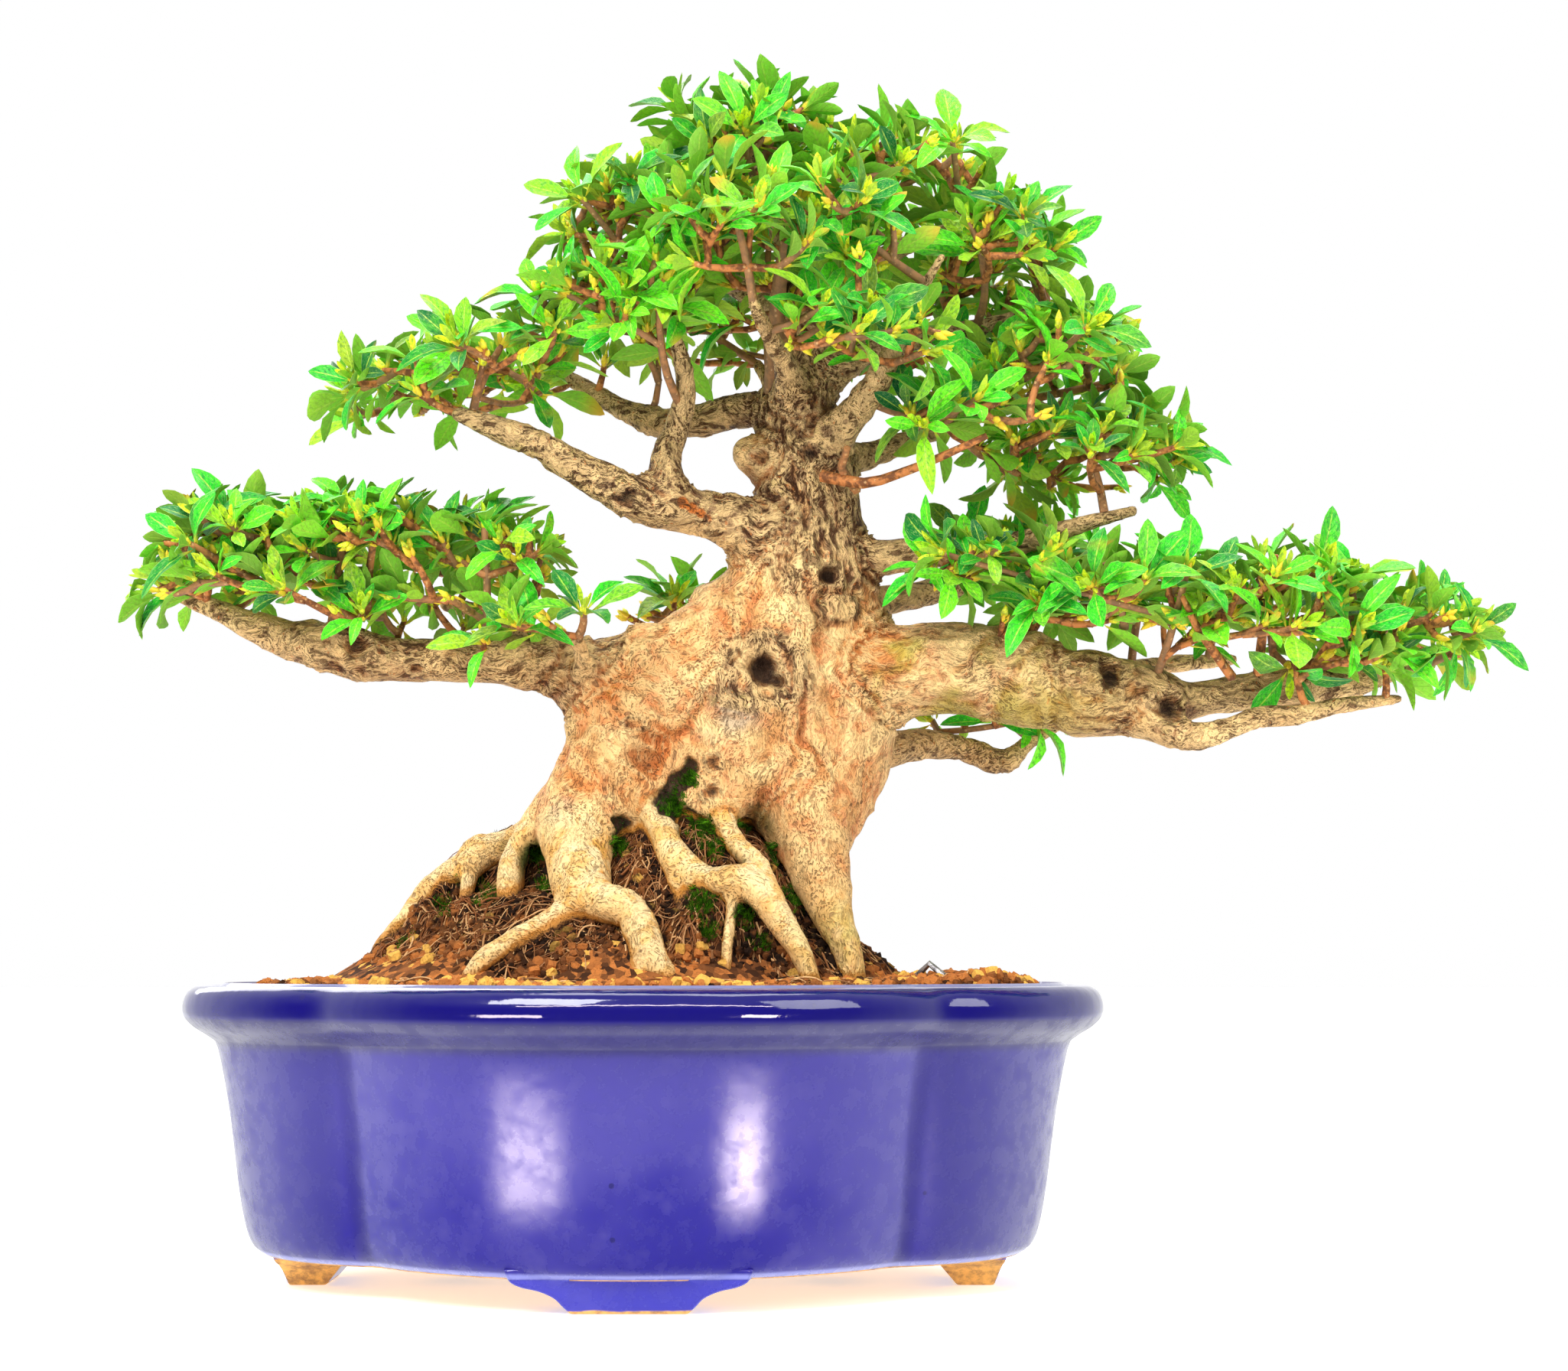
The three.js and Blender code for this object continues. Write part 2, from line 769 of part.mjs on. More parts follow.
const limbSegments = Object.values({ ...trunkLimbs, ...branchLimbs }).flatMap(routeSegments);

// A stem's route: it leaves its parent sideways and bends up to its tip.
function stemRoute(from, to, baseRadius, tipRadius, bow) {
  const length = Math.hypot(to[0] - from[0], to[1] - from[1], to[2] - from[2]);
  const route = [];
  for (let i = 0; i <= 3; i += 1) {
    const t = i / 3;
    const swell = Math.sin(Math.PI * t) * length;
    route.push([
      from[0] + (to[0] - from[0]) * t + bow[0] * swell,
      from[1] + (to[1] - from[1]) * t + bow[1] * swell,
      from[2] + (to[2] - from[2]) * t + bow[2] * swell,
      baseRadius + (tipRadius - baseRadius) * t,
    ]);
  }
  return route;
}

// Places the shoot tips evenly through the clouds, each far from the ones before it.
function placeTips(random) {
  const total = clouds.reduce((sum, cloud) => sum + cloud.share, 0);
  const drawCandidate = () => {
    let pick = random() * total;
    let cloud = clouds[clouds.length - 1];
    for (const each of clouds) {
      pick -= each.share;
      if (pick < 0) {
        cloud = each;
        break;
      }
    }
    const turn = 2 * Math.PI * random();
    const rise = 2 * random() - 1;
    const reach = shellInner + (1 - shellInner) * random();
    const flat = Math.sqrt(1 - rise * rise);
    const out = [flat * Math.cos(turn), flat * Math.sin(turn), rise < lowestFacing ? -rise : rise];
    const at = out.map((value, axis) => cloud.at[axis] + cloud.size[axis] * value * reach);
    return { at, out, limbs: cloud.limbs };
  };
  const tips = [...outermostTips];
  while (tips.length < shootCount) {
    let best = null;
    let bestGap = -1;
    for (let i = 0; i < candidatesPerShoot; i += 1) {
      const candidate = drawCandidate();
      let gap = Infinity;
      for (const tip of tips) {
        const apart = Math.hypot(...tip.at.map((value, axis) => value - candidate.at[axis]));
        gap = Math.min(gap, apart);
      }
      if (gap > bestGap) {
        bestGap = gap;
        best = candidate;
      }
    }
    tips.push(best);
  }
  return tips;
}

// Grows a stem from wood to each tip; the first ones start sprays, and later ones fork from them.
function growSprays(random) {
  const sprays = [];
  for (const [index, tip] of placeTips(random).entries()) {
    const startsSpray = index < sprayCount;
    const places = [];
    if (startsSpray) {
      for (const name of tip.limbs) {
        for (const at of sampleLimb(name)) {
          places.push({ at, spray: null });
        }
      }
    } else {
      for (const spray of sprays) {
        for (const at of spray.forks) {
          places.push({ at, spray });
        }
      }
    }
    for (const place of places) {
      const gap = Math.hypot(...tip.at.map((value, axis) => value - place.at[axis]));
      place.cost = gap + climbCost * Math.max(0, place.at[2] + climbShare * gap - tip.at[2]);
    }
    places.sort((a, b) => a.cost - b.cost);
    const others = sprays.map((spray) => ({ spray, segments: spray.stems.flatMap(routeSegments) }));
    let route = null;
    let chosen = null;
    for (const place of places.slice(0, stemPlacesTried)) {
      const base = startsSpray ? sprayBaseRadius : twigBaseRadius;
      const end = startsSpray ? sprayTipRadius : twigTipRadius;
      const bow = [stemBow * (random() - 0.5), stemBow * (random() - 0.5), -stemSag * random()];
      const trial = stemRoute(place.at, tip.at, base, end, bow);
      const skip = startsSpray ? place.at[3] + stemStartRoom : stemStartRoom;
      let clear = true;
      for (let i = 0; i <= 3 * stemChecksPerSpan && clear; i += 1) {
        const span = Math.min(2, Math.floor(i / stemChecksPerSpan));
        const t = i / stemChecksPerSpan - span;
        const p = trial[span].map((value, axis) => value + (trial[span + 1][axis] - value) * t);
        const fromStart = Math.hypot(p[0] - place.at[0], p[1] - place.at[1], p[2] - place.at[2]);
        if (fromStart > skip && clearanceFrom(p, limbSegments) < p[3] + stemClearance) {
          clear = false;
        }
        for (const other of others) {
          if (other.spray !== place.spray && clearanceFrom(p, other.segments) < p[3] + stemClearance) {
            clear = false;
          }
        }
      }
      if (clear) {
        route = trial;
        chosen = place;
        break;
      }
    }
    if (route) {
      const spray = chosen.spray ?? { stems: [], forks: [], shoots: [] };
      if (!chosen.spray) {
        sprays.push(spray);
      }
      spray.stems.push(route);
      spray.forks.push(route[1], route[2]);
      spray.shoots.push({ at: tip.at, out: tip.out, route });
    }
  }
  return sprays;
}

// One blade's outline in its own frame: base at the origin, length along +X, upper face to +Z.
function bladeOutline(length, width, baseWidth) {
  const right = leafStations.map(([t, share]) => [t * length, (-share * width) / 2]);
  const left = leafStations.map(([t, share]) => [t * length, (share * width) / 2]).reverse();
  const outline = [[0, -baseWidth / 2], ...right, [length, 0], ...left, [0, baseWidth / 2]];
  return outline.map(([x, y]) => [x, y, Math.abs(y) * leafFold - (leafDroop * x * x) / length]);
}

// The blade's faces: a narrow strip along the midrib, and two on each side of it.
const bladeFaces = [[0, 3, 6], [0, 1, 2], [0, 2, 3], [3, 4, 6], [4, 5, 6]];

const asVector = (p) => new THREE.Vector3(p[0], p[1], p[2]);

// How near two blades come, measured from the points and edges of each to the faces of the other.
function bladeGap(a, b) {
  let least = Infinity;
  const nearest = new THREE.Vector3();
  const ray = new THREE.Ray();
  for (const [one, two] of [[a, b], [b, a]]) {
    for (const triangle of two.faces) {
      for (const probe of one.probes) {
        triangle.closestPointToPoint(probe, nearest);
        least = Math.min(least, nearest.distanceTo(probe));
      }
      for (const [start, end] of one.edges) {
        const length = start.distanceTo(end);
        ray.origin.copy(start);
        ray.direction.subVectors(end, start).normalize();
        const hit = ray.intersectTriangle(triangle.a, triangle.b, triangle.c, false, nearest);
        if (hit && hit.distanceTo(start) < length) {
          return 0;
        }
      }
    }
  }
  return least;
}

function describeBlade(points) {
  const faces = bladeFaces.map(([a, b, c]) => new THREE.Triangle(points[a], points[b], points[c]));
  const edges = points.slice(1).map((p, i) => [points[i], p]);
  const probes = [...points];
  for (const [start, end] of edges) {
    probes.push(start.clone().lerp(end, 0.5));
  }
  const middle = points[0].clone().lerp(points[3], 0.5);
  return { points, faces, edges, probes, middle };
}

// Sets a whorl of leaves round each shoot tip, each drawn again until it is clear of the others.
function addLeaves(sprays, random) {
  const placed = [];
  const stemSegments = sprays.flatMap((spray) => spray.stems.flatMap(routeSegments));
  for (const spray of sprays) {
    for (const shoot of spray.shoots) {
      const last = asVector(shoot.route[3]);
      const axis = last.clone().sub(asVector(shoot.route[2])).normalize();
      axis.addScaledVector(asVector(shoot.out), outwardPull).normalize();
      const side = new THREE.Vector3(0.1, 0, 1).cross(axis).normalize();
      side.applyAxisAngle(axis, 2 * Math.PI * random());
      shoot.axis = axis;
      shoot.side = side;
      shoot.blades = [];
      for (let i = 0; i < leavesPerShoot; i += 1) {
        const radial = side.clone().applyAxisAngle(axis, (2 * Math.PI * (i + 0.5)) / leavesPerShoot);
        let chosen = null;
        for (let attempt = 0; attempt < leafTries && !chosen; attempt += 1) {
          const lean = leafLeanLow + leafLeanSpread * random();
          const swing = leafSwing * (random() - 0.5);
          const shorter = 1 - leafShorterEachTry * attempt;
          const length = THREE.MathUtils.lerp(leafLengthLow, leafLengthHigh, random()) * shorter;
          const facing = radial.clone().applyAxisAngle(axis, swing);
          const along = facing.multiplyScalar(Math.sin(lean)).addScaledVector(axis, Math.cos(lean));
          const upper = axis.clone().addScaledVector(along, -axis.dot(along)).normalize();
          const across = new THREE.Vector3().crossVectors(upper, along);
          const base = last.clone().addScaledVector(radial, budRadius * leafStart);
          const outline = bladeOutline(length, length * leafWidthShare, budRadius).map(([x, y, z]) => {
            const inPlane = base.clone().addScaledVector(along, x).addScaledVector(across, y);
            return inPlane.addScaledVector(upper, z);
          });
          const blade = { ...describeBlade(outline), shoot, upper };
          const offLimbs = blade.probes.every((p) => p.distanceTo(base) < leafRootRoom
            || clearanceFrom(p.toArray(), limbSegments) > leafClearance);
          const offStems = offLimbs && blade.probes.every((p) => p.distanceTo(base) < leafStemRoom
            || clearanceFrom(p.toArray(), stemSegments) > leafClearance);
          const offLeaves = offStems && placed.every((other) => other.shoot === shoot
            || other.middle.distanceTo(blade.middle) > leafLengthHigh + leafRootRoom
            || bladeGap(blade, other) > leafClearance);
          chosen = offLeaves ? blade : null;
        }
        if (chosen) {
          placed.push(chosen);
        }
        shoot.blades.push(chosen);
      }
    }
  }
}

// The faces of one leaf as it grows out of a side of its bud; the leaf's own points join the list.
function leafFaces(points, blade, [lowJ, lowK, highJ, highK]) {
  const half = leafThickness / 2;
  const top = [highJ];
  const under = [lowJ];
  for (const p of blade.points.slice(1, -1)) {
    top.push(points.push(p.clone().addScaledVector(blade.upper, half)) - 1);
    under.push(points.push(p.clone().addScaledVector(blade.upper, -half)) - 1);
  }
  top.push(highK);
  under.push(lowK);
  const triangles = [];
  for (const [a, b, c] of bladeFaces) {
    triangles.push([top[a], top[b], top[c]], [under[a], under[c], under[b]]);
  }
  for (let i = 0; i < top.length - 1; i += 1) {
    triangles.push([under[i], under[i + 1], top[i + 1]], [under[i], top[i + 1], top[i]]);
  }
  return triangles;
}

// A leaf by itself, closed at its root, to find out whether it cuts through another.
function looseLeaf(blade, corners) {
  const points = [...corners];
  const triangles = leafFaces(points, blade, [0, 1, 2, 3]);
  triangles.push([0, 3, 1], [0, 2, 3]);
  return toSolid(closedGeometry(points.map((p) => p.toArray()), triangles));
}

// A stem and its whorl in one skin: each leaf grows out of one side of the bud at the tip.
function shootGeometry(shoot) {
  const { route, axis, side, blades } = shoot;
  const count = leavesPerShoot;
  const tip = asVector(route[3]);
  const lower = route.slice(0, 3).filter((p, i) => i === 0 || asVector(p).distanceTo(tip) > budRoom);
  const stem = taperedTube([...lower, [...route[3].slice(0, 3), budRadius]], count);
  const stemPoints = stem.attributes.position.array;
  const low = lower.length * count;
  const high = low + count;
  const points = [];
  for (let i = 0; i < low; i += 1) {
    points.push(asVector(stemPoints.slice(3 * i, 3 * i + 3)));
  }
  for (const lift of [-budHalfHeight, budHalfHeight]) {
    for (let j = 0; j < count; j += 1) {
      const radial = side.clone().applyAxisAngle(axis, (2 * Math.PI * j) / count);
      points.push(tip.clone().addScaledVector(radial, budRadius).addScaledVector(axis, lift));
    }
  }
  const start = points.push(asVector(route[0])) - 1;
  const bud = points.push(tip.clone().addScaledVector(axis, budPointHeight)) - 1;
  const triangles = [];
  const leaves = [];
  // The bud's corners are matched to the stem's last ring with the least twist between them.
  let twist = 0;
  let least = Infinity;
  for (let shift = 0; shift < count; shift += 1) {
    let apart = 0;
    for (let j = 0; j < count; j += 1) {
      apart += points[low - count + j].distanceTo(points[low + ((j + shift) % count)]);
    }
    if (apart < least) {
      least = apart;
      twist = shift;
    }
  }
  for (let j = 0; j < count; j += 1) {
    const k = (j + 1) % count;
    triangles.push([start, k, j]);
    for (let a = 0; a < low - count; a += count) {
      triangles.push([a + j, a + k, a + count + k], [a + j, a + count + k, a + count + j]);
    }
    const lowJ = low + ((j + twist) % count);
    const lowK = low + ((k + twist) % count);
    triangles.push([low - count + j, low - count + k, lowK], [low - count + j, lowK, lowJ]);
    triangles.push([bud, high + j, high + k]);
    const corners = [low + j, low + k, high + j, high + k];
    const leaf = blades[j] ? looseLeaf(blades[j], corners.map((index) => points[index])) : null;
    if (leaf && leaves.every((other) => other.intersect(leaf).volume() < leafCutVolume)) {
      leaves.push(leaf);
      triangles.push(...leafFaces(points, blades[j], corners));
    } else {
      triangles.push([low + j, low + k, high + k], [low + j, high + k, high + j]);
    }
  }
  return closedGeometry(points.map((p) => p.toArray()), triangles);
}

function makeSpray(spray, woodHole) {
  const solids = spray.shoots.map((shoot) => toSolid(shootGeometry(shoot)));
  const joined = wasm.Manifold.union(solids).subtract(woodHole);
  const pieces = joined.decompose();
  pieces.sort((a, b) => b.volume() - a.volume());
  return pieces[0].simplify(sliverSize);
}

const bonsai = new THREE.Group();
const wood = makeWood(0);
const woodHole = makeWood(rootGap);
const wire = toSolid(wireTube(0));
const wireHole = toSolid(wireTube(wireGap));
const screenPlaces = { screen_left: -drainSpacing / 2, screen_right: drainSpacing / 2 };
const screenHoles = Object.values(screenPlaces).map((x) => screenPlate(x, screenGap));

bonsai.add(namedMesh('pot', toGeometry(makePot()), potColour, 0.25));
bonsai.add(namedMesh('soil', toGeometry(makeSoil([woodHole, wireHole, ...screenHoles])), soilColour, 0.95));
bonsai.add(namedMesh('trunk', toGeometry(wood), woodColour, 0.8));
bonsai.add(namedMesh('anchor_wire', toGeometry(wire), wireColour, 0.5));
for (const [name, x] of Object.entries(screenPlaces)) {
  bonsai.add(namedMesh(name, toGeometry(makeScreen(x)), screenColour, 0.7));
}

const random = randomStream(foliageSeed);
const sprays = growSprays(random);
addLeaves(sprays, random);
for (const [index, spray] of sprays.entries()) {
  const name = `spray_${String(index + 1).padStart(2, '0')}`;
  bonsai.add(namedMesh(name, toGeometry(makeSpray(spray, woodHole)), leafColour, 0.55));
}

const extent = new THREE.Box3().setFromObject(bonsai);
const middle = extent.getCenter(new THREE.Vector3());
bonsai.position.set(-middle.x, -middle.y, -extent.min.z);

export default bonsai;
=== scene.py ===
import math

import bmesh
import bpy
import numpy as np
from mathutils import Matrix, Vector
from mathutils.bvhtree import BVHTree


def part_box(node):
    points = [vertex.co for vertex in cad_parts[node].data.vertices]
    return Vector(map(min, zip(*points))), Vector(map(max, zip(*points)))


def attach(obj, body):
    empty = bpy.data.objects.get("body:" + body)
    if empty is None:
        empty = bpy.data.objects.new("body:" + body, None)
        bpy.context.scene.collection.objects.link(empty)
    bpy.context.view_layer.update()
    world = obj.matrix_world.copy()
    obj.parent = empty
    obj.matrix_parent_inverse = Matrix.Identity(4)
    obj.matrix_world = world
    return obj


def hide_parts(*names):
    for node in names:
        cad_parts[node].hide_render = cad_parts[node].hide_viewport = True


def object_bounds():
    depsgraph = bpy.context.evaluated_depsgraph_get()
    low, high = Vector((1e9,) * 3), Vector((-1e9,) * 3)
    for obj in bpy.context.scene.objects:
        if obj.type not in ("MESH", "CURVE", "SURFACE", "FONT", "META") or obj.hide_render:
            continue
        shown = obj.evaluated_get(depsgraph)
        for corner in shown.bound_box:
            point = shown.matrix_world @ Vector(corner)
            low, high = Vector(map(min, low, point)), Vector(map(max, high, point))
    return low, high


# A satsuki azalea bonsai in a lobed blue pot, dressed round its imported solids.
# Lengths are millimetres, and places are measured from the ground under the pot's middle.

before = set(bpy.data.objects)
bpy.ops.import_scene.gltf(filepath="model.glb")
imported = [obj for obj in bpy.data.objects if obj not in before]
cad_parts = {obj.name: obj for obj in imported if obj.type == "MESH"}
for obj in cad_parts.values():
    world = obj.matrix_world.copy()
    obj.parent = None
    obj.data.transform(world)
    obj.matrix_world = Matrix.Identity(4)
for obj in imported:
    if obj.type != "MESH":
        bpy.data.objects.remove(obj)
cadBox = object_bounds()
scene = bpy.context.scene
mm = 0.001
potLow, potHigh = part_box("pot")
potMiddle = np.array([(potLow.x + potHigh.x) / 2, (potLow.y + potHigh.y) / 2, 0.0])
print("frame loaded,", len(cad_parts), "nodes")


# Small helpers

def unit(v):
    return v / np.maximum(np.linalg.norm(v, axis=-1, keepdims=True), 1e-9)


def rowLengths(v):  # how long each vector of an array is
    return np.linalg.norm(v, axis=-1)


def turned(v, axis, angle):  # v turned round a unit axis
    c, s = math.cos(angle), math.sin(angle)
    return v * c + np.cross(axis, v) * s + axis * np.dot(axis, v) * (1 - c)


def smoothStep(low, high, x):
    t = np.clip((x - low) / (high - low), 0, 1)
    return t * t * (3 - 2 * t)


fullTurn = 6.28              # radians, for random turns
lattice = np.random.default_rng(7).uniform(-1, 1, (32, 32, 32))


def smoothNoise(p):  # from -1 to 1, one cell of noise for each unit of p
    base = np.floor(p).astype(int)
    f = p - base
    f = f * f * (3 - 2 * f)
    total = np.zeros(len(p))
    for i in (0, 1):
        for j in (0, 1):
            for k in (0, 1):
                weight = (f[:, 0] if i else 1 - f[:, 0]) * (f[:, 1] if j else 1 - f[:, 1])
                weight = weight * (f[:, 2] if k else 1 - f[:, 2])
                cell = (base + (i, j, k)) % 32
                total += weight * lattice[cell[:, 0], cell[:, 1], cell[:, 2]]
    return total


def flatNoise(x, y, size, level=0.0):
    return smoothNoise(np.stack([x / size, y / size, np.full(len(x), level)], 1))


def smoothLine(points, step):  # a smooth curve through points, sampled about every step
    points = np.asarray(points, float)
    ends = np.vstack([2 * points[0] - points[1], points, 2 * points[-1] - points[-2]])
    line = []
    for i in range(len(points) - 1):
        p0, p1, p2, p3 = ends[i : i + 4]
        count = max(1, int(round(np.linalg.norm((p2 - p1)[:3]) / step)))
        for t in np.arange(count) / count:
            line.append(0.5 * (2 * p1 + (p2 - p0) * t + (2 * p0 - 5 * p1 + 4 * p2 - p3) * t * t
                               + (3 * p1 - p0 - 3 * p2 + p3) * t ** 3))
    line.append(points[-1])
    return np.array(line)


def toSegment(points, a, b):  # how far along a segment each point lies, and its distance
    t = np.clip((points - a) @ (b - a) / max((b - a) @ (b - a), 1e-6), 0, 1)
    return t, rowLengths(points - a - t[:, None] * (b - a))


def makeObject(name, mesh, material=None):
    piece = bpy.data.objects.new(name, mesh)
    if material:
        mesh.materials.append(material)
    scene.collection.objects.link(piece)
    return piece


def build(name, points, faces, edges=(), attributes=None, material=None):  # points in millimetres
    mesh = bpy.data.meshes.new(name)
    placed = np.asarray(points, float) * mm + potMiddle
    mesh.from_pydata(placed.tolist(), [tuple(e) for e in edges], [tuple(f) for f in faces])
    for key, values in (attributes or {}).items():
        values = np.asarray(values)
        kind, field = ("FLOAT", "value") if values.ndim == 1 else ("FLOAT_VECTOR", "vector")
        if values.dtype.kind == "i":
            kind = "INT"
        mesh.attributes.new(key, kind, "POINT").data.foreach_set(field, values.ravel())
    return makeObject(name, mesh, material)


def wear(piece, slot, *nodes):  # the calls that every finished piece of this object needs
    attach(piece, "root")
    if nodes:
        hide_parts(*nodes)
    count = sum(len(p.vertices) - 2 for p in piece.data.polygons)
    print(f"{piece.name}: {count} triangles")
    return piece


def put(tree, kind, inputs=None, **settings):  # adds a node, with its values and links
    node = tree.nodes.new(kind)
    for key, value in settings.items():
        setattr(node, key, value)
    for key, value in (inputs or {}).items():
        value = getattr(value, "socket", value)
        if isinstance(value, bpy.types.NodeSocket):
            tree.links.new(value, node.inputs[key])
        else:
            node.inputs[key].default_value = value
    return node


def newTree(name, inputs, kind="Geometry", output=("Geometry", "Geometry")):
    tree = bpy.data.node_groups.new(name, kind + "NodeTree")
    for row in (*inputs.items(), output):
        way = "OUTPUT" if row is output else "INPUT"
        tree.interface.new_socket(row[0], in_out=way, socket_type="NodeSocket" + row[1])
    return tree, tree.nodes.new("NodeGroupInput"), tree.nodes.new("NodeGroupOutput")


def grow(name, source, tree, values):  # runs a geometry tree on source and keeps the plain mesh
    modifier = source.modifiers.new(name, "NODES")
    modifier.node_group = tree
    for item in tree.interface.items_tree:
        if item.item_type == "SOCKET" and item.in_out == "INPUT" and item.name in values:
            modifier[item.identifier] = values[item.name]
    depsgraph = bpy.context.evaluated_depsgraph_get()
    evaluated = source.evaluated_get(depsgraph)
    mesh = bpy.data.meshes.new_from_object(evaluated, preserve_all_data_layers=True, depsgraph=depsgraph)
    mesh.name = name
    bpy.data.objects.remove(source)
    return makeObject(name, mesh)


# Shader helpers

class Value:  # an output of a shader node, which sums, differences and products are made from
    def __init__(self, socket):
        self.socket = socket

    def __add__(self, other):
        return calculate("ADD", self, other)

    def __radd__(self, other):
        return calculate("ADD", other, self)

    def __sub__(self, other):
        return calculate("SUBTRACT", self, other)

    def __rsub__(self, other):
        return calculate("SUBTRACT", other, self)

    def __mul__(self, other):
        return calculate("MULTIPLY", self, other)

    def __abs__(self):
        return calculate("ABSOLUTE", self)


def shade(kind, inputs, output=0, **settings):  # a node in the tree that its inputs come from
    tree = next(value.socket.id_data for value in inputs.values() if isinstance(value, Value))
    return Value(put(tree, kind, inputs, **settings).outputs[output])


def calculate(operation, *values):
    return shade("ShaderNodeMath", dict(enumerate(values)), operation=operation)


def larger(a, b):
    return calculate("MAXIMUM", a, b)


def mixColour(factor, a, b, blend="MIX"):
    return shade("ShaderNodeMix", {0: factor, 6: a, 7: b}, 2, data_type="RGBA", blend_type=blend)


def layered(colour, *layers):  # tones laid over a colour one after another, each by its mask
    for mask, tone in layers:
        colour = mixColour(mask, colour, tone)
    return colour


def fade(value, low, high):  # 0 at low, 1 at high
    inputs = {"Value": value, "From Min": low, "From Max": high}
    return shade("ShaderNodeMapRange", inputs, interpolation_type="SMOOTHSTEP")


def between(share, low, high):
    return shade("ShaderNodeMapRange", {"Value": share, "To Min": low, "To Max": high})


def noise(vector, scale, detail=2.0, roughness=0.5):
    inputs = {"Vector": vector, "Scale": scale, "Detail": detail, "Roughness": roughness}
    return shade("ShaderNodeTexNoise", inputs, "Fac")


def bump(height, strength, distance):
    return shade("ShaderNodeBump", {"Height": height, "Strength": strength, "Distance": distance})


def part(vector, axis):  # one of the three parts of a vector
    return shade("ShaderNodeSeparateXYZ", {0: vector}, axis)


def coordinate(tree, name):
    return Value(put(tree, "ShaderNodeTexCoord").outputs[name])


def read(material, name, output="Fac"):  # an attribute of the mesh
    return Value(put(material.node_tree, "ShaderNodeAttribute", attribute_name=name).outputs[output])


def setConstants(material, values):
    for key, value in values.items():
        material.node_tree.nodes["Principled BSDF"].inputs[key].default_value = value


def newMaterial(name, roughness, specular=0.5, metallic=0.0):
    material = bpy.data.materials.new(name)
    material.use_nodes = True
    setConstants(material, {"Roughness": roughness, "Specular IOR Level": specular, "Metallic": metallic})
    return material, coordinate(material.node_tree, "Object")


def finish(material, values):  # links the finished colour and values to the surface
    for key, value in values.items():
        material.node_tree.links.new(value.socket, material.node_tree.nodes["Principled BSDF"].inputs[key])
    return material


def newGroup(name, inputs):
    tree, start, end = newTree(name, inputs, "Shader", ("Value", "Float"))
    return tree, [Value(start.outputs[i]) for i in range(len(inputs))], end.inputs[0]


def makeGrainGroup():  # a noise drawn out along X, Y and Z, mixed by the way that the grain runs
    tree, (vector, way, fineness, stretch), end = newGroup("stretchedGrain", {
        "Vector": "Vector", "Way": "Vector", "Fineness": "Float", "Stretch": "Float"})
    shares = []
    for axis in range(3):
        scaling = shade("ShaderNodeCombineXYZ", {0: 1.0, 1: 1.0, 2: 1.0, axis: stretch})
        drawn = shade("ShaderNodeVectorMath", {0: vector, 1: scaling}, operation="MULTIPLY")
        shares.append(noise(drawn, fineness, 3.0, 0.6) * part(way, axis))
    tree.links.new((shares[0] + shares[1] + shares[2]).socket, end)
    return tree


def makeSpeckGroup():  # scattered specks: the middles of cells, of which a share is kept
    tree, (vector, fineness, size, share), end = newGroup("scatteredSpecks", {
        "Vector": "Vector", "Fineness": "Float", "Size": "Float", "Share": "Float"})
    cells = put(tree, "ShaderNodeTexVoronoi", {"Vector": vector, "Scale": fineness}).outputs
    near = calculate("LESS_THAN", Value(cells["Distance"]), size)
    pick = shade("ShaderNodeSeparateColor", {0: Value(cells["Color"])})
    tree.links.new((near * calculate("LESS_THAN", pick, share)).socket, end)
    return tree


grainGroup = makeGrainGroup()
speckGroup = makeSpeckGroup()


def grain(place, way, fineness, stretch):
    inputs = {"Vector": place, "Way": way, "Fineness": fineness, "Stretch": stretch}
    return shade("ShaderNodeGroup", inputs, node_tree=grainGroup)


def specks(place, fineness, size, share):
    inputs = {"Vector": place, "Fineness": fineness, "Size": size, "Share": share}
    return shade("ShaderNodeGroup", inputs, node_tree=speckGroup)


# Camera, floor and light

view = {
    "place": (40.7, -850.0, 93.7),
    "tiltDegrees": 5.34,
    "lens": 66.4,
    "sensor": 36.0,
    "imageWidth": 2050,
    "imageHeight": 1792,
}
tilt = math.radians(view["tiltDegrees"])
camera = bpy.data.cameras.new("photoCamera")
camera.lens = view["lens"]
camera.sensor_width = view["sensor"]
camera.clip_start = 0.01
camera.clip_end = 50.0
cameraObject = bpy.data.objects.new("photoCamera", camera)
cameraObject.location = Vector(np.array(view["place"]) * mm + potMiddle)
cameraObject.rotation_euler = (math.pi / 2 + tilt, 0, 0)
scene.collection.objects.link(cameraObject)
scene.camera = cameraObject
scene.view_settings.view_transform = "Standard"


def pixelRay(px, py):  # from the camera through a pixel of the photo
    focal = view["lens"] / view["sensor"] * view["imageWidth"]
    right = (px - view["imageWidth"] / 2) / focal
    up = (view["imageHeight"] / 2 - py) / focal
    way = (right, math.cos(tilt) - up * math.sin(tilt), math.sin(tilt) + up * math.cos(tilt))
    return Vector(view["place"]), Vector(way).normalized()


